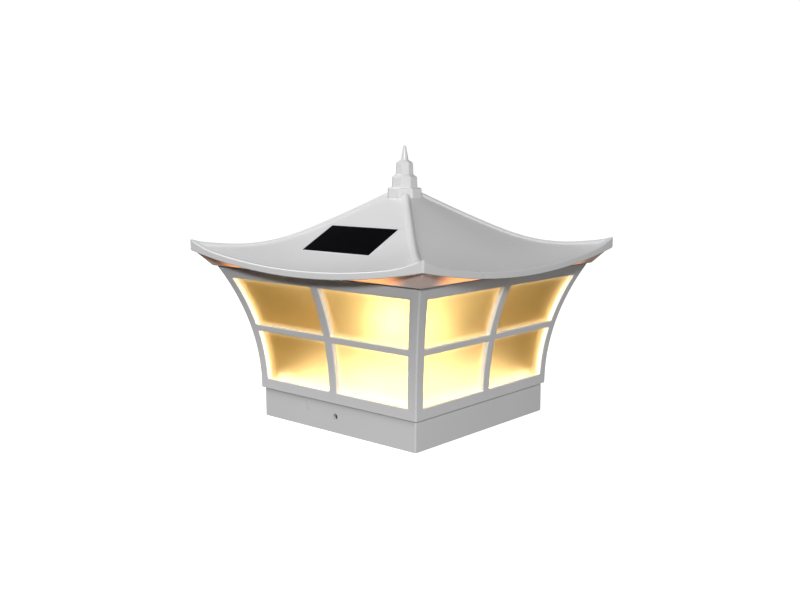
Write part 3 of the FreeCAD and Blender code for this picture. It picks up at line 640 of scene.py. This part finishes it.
keep = open_cells(slope_quads, near_row, far_row) & open_cells(slope_quads, under_far_row, under_near_row)
outer = (border_half_width, panel_half_length + panel_gap + panel_border)
inner = (panel_half_width + panel_gap, panel_half_length + panel_gap)
soft = 0.25
pocket_loops = [opening_loop(slope, near_row, far_row),
                rectangle_loop(outer[0], outer[1], border_proud - soft),
                rectangle_loop(outer[0] - 0.3 * soft, outer[1] - 0.3 * soft, border_proud - 0.3 * soft),
                rectangle_loop(outer[0] - soft, outer[1] - soft, border_proud),
                rectangle_loop(inner[0] + soft, inner[1] + soft, border_proud),
                rectangle_loop(inner[0], inner[1], border_proud - soft),
                rectangle_loop(inner[0], inner[1], -pocket_depth),
                rectangle_loop(0, 0, -pocket_depth)]
tub_loops = [opening_loop(slope, under_near_row, under_far_row),
             rectangle_loop(outer[0], outer[1], -pocket_depth - pocket_floor),
             rectangle_loop(0, 0, -pocket_depth - pocket_floor)]
pocket_grids = [(np.stack(loops), grid_faces(len(loops), len(loops[0]), close_columns=True))
                for loops in (pocket_loops, tub_loops)]
print("pocket's middle at", panel_middle.round(1), "mm")

# %% The whole roof shell
quarters = [(slope @ quarter_turn(k), slope_quads if k else slope_quads[keep]) for k in range(4)]
make_piece("roof_moulding", *join(quarters + pocket_grids), "roof", "white_abs", ["roof_shell"])

# %% [markdown]
# ## The finial
# The finial has three eight-sided tiers with sloping shoulders and a thin spire. Moulded edges are never
# quite sharp, so the octagon's corners and all the steps of the profile get small arcs.

# %% Three tiers and a spire
tiers = [(22.4, 7.15, 0.0), (16.6, 7.2, 1.8), (11.4, 7.6, 1.8)]
draft = 0.6
step_edge, corner_edge = 0.45, 0.7
spire_radius, spire_tip, spire_height = 2.6, 0.9, 9.7
spire_foot_taper, spire_end, spire_point, spire_edge = 0.96, 0.5, 0.25, 0.4


def finial_profile():
    """(half width, level) up the outside; the levels add up from the seat."""
    profile, level = [(0, seat_level), (tiers[0][0] / 2, seat_level)], seat_level
    for k, (flats, wall_height, shoulder) in enumerate(tiers):
        level += wall_height
        profile.append(((flats - draft) / 2, level))
        level += shoulder
        profile.append((tiers[k + 1][0] / 2 if k + 1 < len(tiers) else spire_radius, level))
    return np.array(profile), level


def octagon_ring(half, level, edge):
    """Eight small arcs of the given radius, one at each corner of an octagon."""
    edge = min(edge, 0.8 * half)
    out = []
    for k in range(8):
        middle = math.radians(22.5 + 45 * k)
        turn = middle + np.radians(np.linspace(-22.5, 22.5, 5))
        reach = (half - edge) / math.cos(math.pi / 8)
        out.append(np.stack([reach * math.cos(middle) + edge * np.cos(turn),
                             reach * math.sin(middle) + edge * np.sin(turn), 0 * turn + level], -1))
    return np.concatenate(out)


steps, spire_foot = finial_profile()
steps = soften(steps, step_edge)
tier_points = np.stack([octagon_ring(half, level, corner_edge) for half, level in steps])
tip_level = spire_foot + spire_height
spire_profile = soften([(spire_radius, spire_foot),
                        (spire_radius * spire_foot_taper, spire_foot + spire_end),
                        (spire_tip, tip_level - spire_end), (spire_point, tip_level), (0, tip_level)],
                       spire_edge)
spire_points = np.stack([octagon_ring(half, level, half) for half, level in spire_profile])
finial_points = np.concatenate([tier_points, spire_points])
make_piece("finial_moulding", finial_points, grid_faces(*finial_points.shape[:2], close_columns=True),
           "roof", "white_abs", ["finial"])

# %% [markdown]
# ## The lamp
# A short tube hangs from the ceiling and carries three small lights under a frosted cap. All of it is
# turned: a profile of radius and level, carried round the axis.

# %% Stem
tray_top = tray_bottom + 2.0
stem_bottom = corner("lamp_stem", 0)[2]
stem_radius, stem_bore, foot_radius, foot_top = 9.0, 7.5, 15, tray_top + 1.6
stem_profile = soften([(stem_bore, tray_top), (stem_bore, stem_bottom), (stem_radius, stem_bottom),
                       (stem_radius, tray_top), (foot_radius, tray_top), (foot_radius, foot_top),
                       (stem_bore, foot_top), (stem_bore, tray_top)], moulded_edge)
make_piece("stem_tube", *turned(stem_profile), "roof", "white_abs", ["lamp_stem"])

# %% [markdown]
# The globe is a cap that is open at the top: a quarter circle outside, a lip, and a quarter circle inside.
# The lights are three domes on short cylinders.

# %% Globe and lights
globe_low, globe_high = corner("lamp_globe", 0)[2], corner("lamp_globe", 1)[2]
globe_radius, globe_wall, lip_edge = corner("lamp_globe", 1)[0], 1.1, 0.2
outside = arc((0, globe_low + globe_radius), globe_radius, -90, 0, 17)
inside = arc((0, globe_low + globe_radius), globe_radius - globe_wall, 0, -90, 17)
lip = [(globe_radius, globe_high - lip_edge), (globe_radius - lip_edge, globe_high),
       (globe_radius - globe_wall, globe_high)]
globe_profile = np.concatenate([outside, lip, inside])
globe = make_piece("globe_cap", *turned(globe_profile), "roof", "frosted_globe", ["lamp_globe"])
led_radius, led_height, led_ring = 2.5, 5.0, 4.2
led_profile = np.concatenate([arc((0, stem_bottom - led_height + led_radius), led_radius, -90, 0, 9),
                              [(led_radius, stem_bottom), (0, stem_bottom)]])
led_turns = [2 * math.pi * k / 3 for k in range(3)]
make_piece("light_beads", *join([turned(led_profile, (led_ring * math.cos(t), led_ring * math.sin(t)), 24)
                                 for t in led_turns]), "roof", "led_resin", ["leds"])

# %% [markdown]
# ## Finishes
# Each material starts from what the real one is. One small function adds a node, and one turns an sRGB hex
# colour into the linear values that a shader works in. The other helpers each draw one kind of pattern
# from several nodes. Many real textures are finer than a pixel here, so their grain is drawn coarser.

# %% Node helpers
def linear(colour):
    """sRGB hex to linear RGBA: c / 12.92 when dark, else ((c + 0.055) / 1.055) ^ 2.4."""
    parts = [int(colour[k:k + 2], 16) / 255 for k in (1, 3, 5)]
    return [c / 12.92 if c <= 0.04045 else ((c + 0.055) / 1.055) ** 2.4 for c in parts] + [1.0]


def add(tree, kind, settings=None, inputs=None):
    """Adds a node, sets its properties, and gives each named input a value or a link."""
    node = tree.nodes.new(kind)
    for key, value in (settings or {}).items():
        setattr(node, key, value)
    for key, value in (inputs or {}).items():
        if isinstance(value, bpy.types.NodeSocket):
            tree.links.new(value, node.inputs[key])
        else:
            node.inputs[key].default_value = value
    return node


def material(name, **inputs):
    """A new material: its tree, its Principled shader and the Object coordinates for its patterns."""
    made = bpy.data.materials.new(name)
    made.use_nodes = True
    tree = made.node_tree
    shader = tree.nodes["Principled BSDF"]
    for key, value in inputs.items():
        shader.inputs[key.replace("_", " ")].default_value = value
    place = tree.nodes.new("ShaderNodeTexCoord").outputs["Object"]
    print("finish", name)
    return made, tree, shader, place


def spots_per_metre(size_mm):
    """Noise scale for spots about this wide: a noise cell is one over its scale."""
    return 1 / (size_mm * MM)


def mottle(tree, shader, place, colour, darker, size_mm, grain_mm, roughness, bump):
    """A made surface: the colour drifts slightly over size_mm, the gloss drifts with it, and a fine grain
    of grain_mm stands up by bump millimetres."""
    drift = add(tree, "ShaderNodeTexNoise", inputs={"Vector": place, "Scale": spots_per_metre(size_mm),
                                                    "Detail": 3.0}).outputs["Fac"]
    tint = add(tree, "ShaderNodeMix", {"data_type": "RGBA"}, {"Factor": drift, "A": linear(colour),
                                                              "B": linear(darker)})
    tree.links.new(tint.outputs["Result"], shader.inputs["Base Color"])
    gloss = add(tree, "ShaderNodeMapRange", inputs={"Value": drift, "From Min": 0.3, "From Max": 0.7,
                                                    "To Min": roughness[0], "To Max": roughness[1]})
    tree.links.new(gloss.outputs["Result"], shader.inputs["Roughness"])
    grain = add(tree, "ShaderNodeTexNoise", inputs={"Vector": place, "Scale": spots_per_metre(grain_mm),
                                                    "Detail": 2.0}).outputs["Fac"]
    relief = add(tree, "ShaderNodeBump", inputs={"Height": grain, "Strength": 1.0, "Distance": bump * MM})
    tree.links.new(relief.outputs["Normal"], shader.inputs["Normal"])


# %% [markdown]
# The outside is ABS, moulded in a steel tool that was finished to a satin gloss: it shows broad soft
# highlights and a very slight unevenness. The tool's grain is 0.1 to 0.3 mm and is drawn 0.9 mm wide. The
# battery bay is the same plastic in grey from a spark-eroded tool, so it is duller and grainier.

# %% White ABS, moulded with a satin gloss, and grey ABS with a matt grain
white_surface = ("#e9e9ea", "#e4e4e5", 40, 0.9, (0.27, 0.34), 0.012)
abs_ior = 1.53
white_abs, tree, shader, place = material("white_moulded_abs", IOR=abs_ior)
mottle(tree, shader, place, *white_surface)
grey_abs, tree, shader, place = material("grey_moulded_abs", IOR=abs_ior)
mottle(tree, shader, place, "#b9babc", "#aeb0b2", 25, 0.8, (0.36, 0.46), 0.02)

# %% [markdown]
# ## Painted lamp light
# Some pieces carry painted light, an emission that stands for the lamp's light on them, as well as colour.
# Where it shows depends on the place in the lantern and is the same on all four sides. So the next helpers
# turn Object coordinates into distances along a side, outwards and up, and draw painted light that fades
# smoothly between two places given in millimetres.

# %% Places on a square lantern
def square_places(tree, place):
    """Along and outwards are the smaller and the larger of |x| and |y|. Their difference tells how far a
    point is from the nearest corner, and z is the height."""
    axes = add(tree, "ShaderNodeSeparateXYZ", inputs={"Vector": place}).outputs
    x, y = [add(tree, "ShaderNodeMath", {"operation": "ABSOLUTE"}, {0: axes[name]}).outputs["Value"]
            for name in "XY"]
    along, outwards = [add(tree, "ShaderNodeMath", {"operation": kind}, {0: x, 1: y}).outputs["Value"]
                       for kind in ("MINIMUM", "MAXIMUM")]
    from_corner = add(tree, "ShaderNodeMath", {"operation": "SUBTRACT"}, {0: outwards, 1: along})
    return {"along": along, "outwards": outwards, "from_corner": from_corner.outputs["Value"],
            "height": axes["Z"]}


def fading(tree, *steps):
    """A product of smooth steps. Each one is a coordinate, two places in mm, and the values there."""
    product = 1.0
    for value, first, last, at_first, at_last in steps:
        step = add(tree, "ShaderNodeMapRange", {"interpolation_type": "SMOOTHSTEP"},
                   {"Value": value, "From Min": first * MM, "From Max": last * MM, "To Min": at_first,
                    "To Max": at_last}).outputs["Result"]
        product = add(tree, "ShaderNodeMath", {"operation": "MULTIPLY"},
                      {0: product, 1: step}).outputs["Value"]
    return product


def either(tree, *masks):
    """The strongest of the masks at each point."""
    out = masks[0]
    for mask in masks[1:]:
        out = add(tree, "ShaderNodeMath", {"operation": "MAXIMUM"}, {0: out, 1: mask}).outputs["Value"]
    return out


def paint_glow(tree, shader, colour, strength):
    """Painted light: an emission of one colour that leaves the surface, as strong as the mask says."""
    shader.inputs["Emission Color"].default_value = linear(colour)
    tree.links.new(strength, shader.inputs["Emission Strength"])


# %% [markdown]
# The panes are polycarbonate, tinted amber in the mass and frosted by a blasted tool: the eye sees warm
# light and soft shapes through them. The frosting is about 0.2 mm wide and is drawn 0.7 mm. Each window
# has a pale cream border of painted light: an emission that fades in from the window's edges.

# %% Frosted amber polycarbonate with a painted glow at the window edges
amber, tree, shader, place = material("frosted_amber_polycarbonate", IOR=1.45)
shader.inputs["Transmission Weight"].default_value = 1.0
mottle(tree, shader, place, "#ba9f5f", "#b59a5a", 30, 0.7, (0.46, 0.52), 0.02)
at = square_places(tree, place)
post_side, mullion_side = post_width - wall - pane_gap, mullion_width / 2
lower_row = (at["height"], lower_head, upper_sill, 1, 0)
upper_row = (at["height"], lower_head, upper_sill, 0, 1)
# Painted light: the pale cream glow along the posts, the mullions, the sills and the heads.
painted_edge_glow = either(
    tree,
    fading(tree, (at["from_corner"], post_side, post_side + 3.6, 0.4, 0)),
    fading(tree, (at["along"], mullion_side, mullion_side + 3, 0.16, 0)),
    fading(tree, (at["height"], lower_sill, lower_sill + 8, 0.22, 0)),
    fading(tree, (at["height"], upper_sill, upper_sill + 3.6, 0.22, 0), upper_row),
    fading(tree, (at["height"], lower_head - 4, lower_head, 0, 0.12), lower_row),
    fading(tree, (at["height"], upper_head - 4, upper_head, 0, 0.12)))
paint_glow(tree, shader, "#fff0d2", painted_edge_glow)

# %% [markdown]
# Two more finishes are the white ABS with painted lamp light. The thin skirt of the tray under the eaves
# gets a painted orange glow, which dies away towards the corners. The floor of the collar, the flange and
# the bosses lie right under the lamp and get a painted pool of bright light, which shows through the lower
# panes.

# %% White ABS with painted lamp light
def lit_white(name):
    """The white finish again, with its places on the lantern, for the finishes that carry painted light."""
    made, tree, shader, place = material(name, IOR=abs_ior)
    mottle(tree, shader, place, *white_surface)
    return made, tree, shader, square_places(tree, place)


skirt_inside, full_glow, faint_glow = 90.3, 60, 84
# Painted light: an orange glow on the skirt under the eaves, fading towards the corners.
tray_abs_painted_glow, tree, shader, at = lit_white("thin_white_abs_painted_glow")
paint_glow(tree, shader, "#ff9f58", fading(tree, (at["along"], full_glow, faint_glow, 1.5, 0.1),
                                      (at["outwards"], skirt_inside, skirt_inside + 0.7, 0, 1)))
under_lamp, floor_half = 20, 64
# Painted light: a bright bluish pool of lamp light on the collar floor, the flange and the bosses.
floor_abs_painted_light, tree, shader, at = lit_white("floor_white_abs_painted_light")
paint_glow(tree, shader, "#ccd4ff", fading(tree, (at["outwards"], under_lamp, floor_half, 9.2, 7.2),
                                      (at["height"], frame_bottom - 0.6, frame_bottom - 0.4, 0, 1),
                                      (at["outwards"], floor_half, floor_half + 0.2, 1, 0)))

# %% [markdown]
# The globe is opal plastic round the lights. Lit, it is nearly white all over, with faint clouds about
# 6 mm wide where the wall is thicker.

# %% Lit frosted globe
glow, tree, shader, place = material("lit_frosted_globe", Emission_Strength=27.0)
cloud = add(tree, "ShaderNodeTexNoise", inputs={"Vector": place, "Scale": spots_per_metre(6)})
tint = add(tree, "ShaderNodeMix", {"data_type": "RGBA"}, {"Factor": cloud.outputs["Fac"],
                                                          "A": linear("#f4f8ff"), "B": linear("#e6eeff")})
for socket in ("Emission Color", "Base Color"):
    tree.links.new(tint.outputs["Result"], shader.inputs[socket])

# %% [markdown]
# ## Printed and laid patterns
# Lines at a regular pitch make the cells of the solar panel, the rings on the battery and the traces of
# the boards. A line is a mask, and a mask lays a second colour over the first.

# %% Helpers for lines
def stripes(tree, value, pitch_mm, width_mm, shift_mm=0.0):
    """A mask of lines across a coordinate, one every pitch: the coordinate over the pitch, its distance to
    the nearest whole number, compared with half of the line's share of the pitch."""
    turns = add(tree, "ShaderNodeMath", {"operation": "MULTIPLY_ADD"},
                {0: value, 1: 1 / (pitch_mm * MM), 2: 0.5 - shift_mm / pitch_mm}).outputs["Value"]
    part = add(tree, "ShaderNodeMath", {"operation": "FRACT"}, {0: turns}).outputs["Value"]
    off = add(tree, "ShaderNodeMath", {"operation": "SUBTRACT"}, {0: part, 1: 0.5}).outputs["Value"]
    off = add(tree, "ShaderNodeMath", {"operation": "ABSOLUTE"}, {0: off}).outputs["Value"]
    return add(tree, "ShaderNodeMath", {"operation": "LESS_THAN"},
               {0: off, 1: width_mm / pitch_mm / 2}).outputs["Value"]


def print_over(tree, shader, mask, colour):
    """Lays a second colour over the base colour where the mask is one."""
    under = shader.inputs["Base Color"].links[0].from_socket
    both = add(tree, "ShaderNodeMix", {"data_type": "RGBA"},
               {"Factor": mask, "A": under, "B": linear(colour)})
    tree.links.new(both.outputs["Result"], shader.inputs["Base Color"])


# %% [markdown]
# The solar panel is silicon cells under clear resin: nearly black, with a low even gloss. The cells are
# strips 9.6 mm wide, crossed by contact lines. Both kinds of line are about 0.1 mm wide on real panels and
# are drawn 0.25 and 0.3 mm.

# %% Black solar cells under clear resin
panel_black, tree, shader, place = material("solar_cells_in_resin", IOR=1.5, Specular_IOR_Level=0.04)
mottle(tree, shader, place, "#040406", "#050509", 6, 2.0, (0.33, 0.37), 0.001)
axes = add(tree, "ShaderNodeSeparateXYZ", inputs={"Vector": place}).outputs
cell_width, contact_pitch = 9.6, 8.6
gaps = stripes(tree, axes["X"], cell_width, 0.25, cell_width / 2)
contacts = stripes(tree, axes["Y"], contact_pitch, 0.3, -panel_distance)
print_over(tree, shader, either(tree, gaps, contacts), "#0a0a0e")

# %% [markdown]
# The seals are black closed-cell foam, cut from sheet, so cells are open at the cut: dull, with dark
# pores. Real pores are about 0.3 mm wide and are drawn 0.8 mm apart.

# %% Foam with open pores
foam, tree, shader, place = material("closed_cell_foam")
mottle(tree, shader, place, "#26262a", "#1b1b1e", 3, 0.6, (0.85, 0.95), 0.12)
pores = add(tree, "ShaderNodeTexVoronoi", inputs={"Vector": place, "Scale": spots_per_metre(0.8)})
pores = add(tree, "ShaderNodeMath", {"operation": "LESS_THAN"}, {0: pores.outputs["Distance"], 1: 0.3})
print_over(tree, shader, pores.outputs["Value"], "#0c0c0e")

# %% [markdown]
# The screws and the hinge pin are turned stainless steel, with fine rings round their axis: the noise is
# squeezed six times along z. The battery's contacts and spring are steel with bright nickel on it, drawn
# lengthwise. The marks come out 0.07 and 0.08 mm wide, as on the real pieces. They are too fine to show,
# so a drift of the gloss that is 0.3 to 0.7 mm wide goes with them.

# %% Metals
steel, tree, shader, place = material("stainless_steel", Metallic=1.0)
rings_round_z = add(tree, "ShaderNodeMapping", inputs={"Vector": place, "Scale": (1, 1, 6)})
mottle(tree, shader, rings_round_z.outputs["Vector"], "#c6c7c8", "#b2b3b5", 2, 0.4, (0.25, 0.38), 0.01)
nickel, tree, shader, place = material("nickel_plate", Metallic=1.0)
streaks_along_x = add(tree, "ShaderNodeMapping", inputs={"Vector": place, "Scale": (1, 6, 1)})
mottle(tree, shader, streaks_along_x.outputs["Vector"], "#d8d2c6", "#cbc5b8", 4, 0.5, (0.12, 0.22), 0.005)

# %% [markdown]
# The battery wears a film of green PVC that was shrunk on with heat: glossy, and slightly wavy. Two pale
# rings are printed 8 and 12 mm from one end.

# %% The battery's sleeve
sleeve, tree, shader, place = material("shrink_sleeve")
mottle(tree, shader, place, "#3f8f57", "#38824e", 9, 0.8, (0.2, 0.3), 0.01)
axes = add(tree, "ShaderNodeSeparateXYZ", inputs={"Vector": place}).outputs
cell_end, no_repeat = corner("battery", 1)[0], 400
rings = either(tree, stripes(tree, axes["X"], no_repeat, 3.0, cell_end - 8),
               stripes(tree, axes["X"], no_repeat, 1.2, cell_end - 12))
print_over(tree, shader, rings, "#dfe6dc")

# %% [markdown]
# The boards are glass fibre and epoxy under a green mask, which is glossier over the copper. The traces
# run one way or the other in square patches about 6 mm wide: a random colour for each patch of a Voronoi
# pattern tells which. They are 0.4 mm wide and 1.2 mm apart. The parts on them are moulded in epoxy that
# is filled with silica, so they are dark, matt and grainy. Its grain of 0.05 mm is drawn 0.3 mm.

# %% Boards and the parts on them
board, tree, shader, place = material("glass_epoxy_board")
mottle(tree, shader, place, "#1f6b3c", "#195a32", 2.2, 0.5, (0.3, 0.5), 0.02)
axes = add(tree, "ShaderNodeSeparateXYZ", inputs={"Vector": place}).outputs
patch = add(tree, "ShaderNodeTexVoronoi", {"distance": "CHEBYCHEV"},
            {"Vector": place, "Scale": spots_per_metre(6)})
pick = add(tree, "ShaderNodeSeparateXYZ", inputs={"Vector": patch.outputs["Color"]}).outputs["X"]
along_x = add(tree, "ShaderNodeMath", {"operation": "GREATER_THAN"}, {0: pick, 1: 0.5}).outputs["Value"]
trace_pitch, trace_width = 1.2, 0.4
traces = add(tree, "ShaderNodeMix", {"data_type": "FLOAT"},
             {"Factor": along_x, "A": stripes(tree, axes["X"], trace_pitch, trace_width),
              "B": stripes(tree, axes["Y"], trace_pitch, trace_width)})
print_over(tree, shader, traces.outputs["Result"], "#2c8a50")
epoxy, tree, shader, place = material("moulded_epoxy")
mottle(tree, shader, place, "#2a2a2c", "#1f1f21", 1.5, 0.3, (0.5, 0.7), 0.02)

# %% [markdown]
# The last three are small moulded or drawn pieces: a matt nylon knob, the glossy yellow resin of the
# lights, which glows, and the smooth red PVC of the leads. Their faint grain of 0.1 to 0.2 mm is drawn
# 0.4 to 0.5 mm.

# %% Nylon knob, light beads and wire jackets
nylon, tree, shader, place = material("black_nylon")
mottle(tree, shader, place, "#2c2c2e", "#232325", 1.5, 0.4, (0.45, 0.6), 0.02)
resin, tree, shader, place = material("yellow_led_resin", Emission_Strength=4.0)
shader.inputs["Emission Color"].default_value = linear("#ffd890")
mottle(tree, shader, place, "#ffe7a0", "#ffdf8c", 2, 0.5, (0.1, 0.2), 0.005)
jacket, tree, shader, place = material("red_pvc_jacket")
mottle(tree, shader, place, "#a32020", "#8e1a1a", 3, 0.4, (0.3, 0.45), 0.01)

# %% [markdown]
# Now every piece takes the finish of its slot, and the pieces with painted lamp light take theirs. The
# globe and the panes throw no shadow, so the lamp lights what it should without thousands of samples. For
# the same reason no glowing finish is picked as a light.

# %% Every piece takes its finish
finish_of = {"white_abs": white_abs, "grey_abs": grey_abs, "amber_pane": amber,
             "solar_laminate": panel_black, "foam_seal": foam, "steel": steel, "nickel": nickel,
             "cell_sleeve": sleeve, "board": board, "component_black": epoxy, "knob_black": nylon,
             "led_resin": resin, "frosted_globe": glow, "lead_jacket": jacket}
painted_light_finish = {"soffit_tray": tray_abs_painted_glow, "post_collar": floor_abs_painted_light, "frame_flange": floor_abs_painted_light,
              "frame_bosses": floor_abs_painted_light}


def dress(mesh, finish):
    mesh.materials.clear()
    mesh.materials.append(finish)


for part in frame["record"]["subparts"]:
    dress(frame["nodes"][part["node"]].data, painted_light_finish.get(part["node"], finish_of[part["material_slot"]]))
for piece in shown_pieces():
    if "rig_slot" in piece:
        dress(piece.data, painted_light_finish.get(piece.name, finish_of[piece["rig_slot"]]))
for piece in [globe, *panes]:
    piece.visible_shadow = False
for lit in (amber, glow, resin, tray_abs_painted_glow, floor_abs_painted_light):
    lit.cycles.emission_sampling = "NONE"
print("slots dressed:", len(finish_of))

# %% [markdown]
# ## Studio and camera
# The object stands on a plain pale floor in front of white paper. The paper and the floor show to the
# camera and through the panes, and bounce no light, so the lights alone shape the lantern.

# %% Floor and paper
white_paper, tree, shader, place = material("white_paper", Roughness=0.9, Emission_Strength=0.9)
shader.inputs["Base Color"].default_value = linear("#f4f4f4")
shader.inputs["Emission Color"].default_value = linear("#ffffff")
white_paper.cycles.emission_sampling = "NONE"
paper_reach, paper_bend, collar_lap = 3000, 900, 0.5


def stage_bowl():
    """A disc that bends up into a wall far away: a profile of (radius, level) carried round. Its middle,
    which the collar covers, is open, so that the collar is dark inside as it is on a post."""
    profile = [(collar_half - collar_lap, 0), (paper_reach, 0), (paper_reach, paper_reach),
               (0, paper_reach)]
    return turned(soften(profile, paper_bend, 12), steps=64)


def make_stage(name, points, quads, finish):
    """A mesh of the studio: it shows to the camera and through the panes, and lights nothing."""
    mesh = bpy.data.meshes.new(name)
    mesh.from_pydata((points.reshape(-1, 3) * MM).tolist(), [], quads.reshape(-1, 4).tolist())
    mesh.shade_smooth()
    mesh.materials.append(finish)
    stage = bpy.data.objects.new(name, mesh)
    bpy.context.scene.collection.objects.link(stage)
    stage.visible_diffuse = False
    stage.visible_glossy = False
    stage.visible_shadow = False
    print(name, len(mesh.polygons), "faces")


make_stage("paper_bowl", *stage_bowl(), white_paper)

# %% [markdown]
# Five square lamps light it. The small key lamp, behind the camera and above it, draws the crisp
# highlights. Three broad ones from above brighten the roof's left slope, and a weak one fills the right.
# Three tiny lights ride with the roof inside the globe, one under each LED, and light the lantern.

# %% Lights
studio = [("key", (0.855, -1.126, 0.602), 0.16, 13.8),      # name, place and width in metres, power in W
          ("top", (0.0, -0.1, 1.4), 1.0, 0.9),
          ("top_left", (-0.9, -0.7, 1.1), 0.6, 6.9),
          ("high_left", (-1.1, -0.3, 0.95), 0.5, 6.2),
          ("right", (1.3, 0.1, 0.25), 0.6, 2.5)]
studio_target = Vector((0, 0, 0.09))
lamp_power, lamp_colour, lamp_level, lamp_radius = 0.15, linear("#ffecd2")[:3], globe_low + 8, 4


def hang(name, kind, energy, place):
    """A light of one kind in its place. It doesn't show through the panes."""
    data = bpy.data.lights.new(name, kind)
    data.energy = energy
    light = bpy.data.objects.new(name, data)
    light.location = place
    light.visible_transmission = False
    bpy.context.scene.collection.objects.link(light)
    return light, data


for name, place, width, energy in studio:
    light, data = hang(name, "AREA", energy, place)
    data.size = width
    light.rotation_mode = "QUATERNION"
    light.rotation_quaternion = (studio_target - Vector(place)).to_track_quat("-Z", "Y")
for k, t in enumerate(led_turns):
    under_led = Vector((led_ring * math.cos(t), led_ring * math.sin(t), lamp_level)) * MM
    light, data = hang("lamp_glow_%d" % k, "POINT", lamp_power, under_led)
    data.color, data.shadow_soft_size = lamp_colour, lamp_radius * MM
    light.visible_camera = light.visible_glossy = False
    light.parent = frame["bodies"]["roof"]
world = bpy.data.worlds.new("studio_air")
world.use_nodes = True
world.node_tree.nodes["Background"].inputs["Color"].default_value = linear("#ffffff")
world.node_tree.nodes["Background"].inputs["Strength"].default_value = 0.048
bpy.context.scene.world = world
bpy.context.scene.view_settings.view_transform = "Standard"
print("lights:", len(studio), "in the studio,", len(led_turns), "in the globe")

# %% [markdown]
# The camera's place, lens and shift come from a least-squares fit to points of the photo: corners of the
# collar, the lantern and the eaves, and the finial's tip.

# %% Camera
eye, aim = Vector((0.4286, -0.4913, 0.1734)), Vector((0, 0, 0.080))
camera_data = bpy.data.cameras.new("photo_view")
camera_data.lens, camera_data.sensor_width = 43.87, 36
camera_data.shift_x, camera_data.shift_y = -0.0058, -0.0036
camera = bpy.data.objects.new("photo_view", camera_data)
camera.location = eye
camera.rotation_mode = "QUATERNION"
camera.rotation_quaternion = (aim - eye).to_track_quat("-Z", "Y")
bpy.context.scene.collection.objects.link(camera)
bpy.context.scene.camera = camera
print("camera", round((eye - aim).length, 3), "m away, lens", camera_data.lens, "mm")
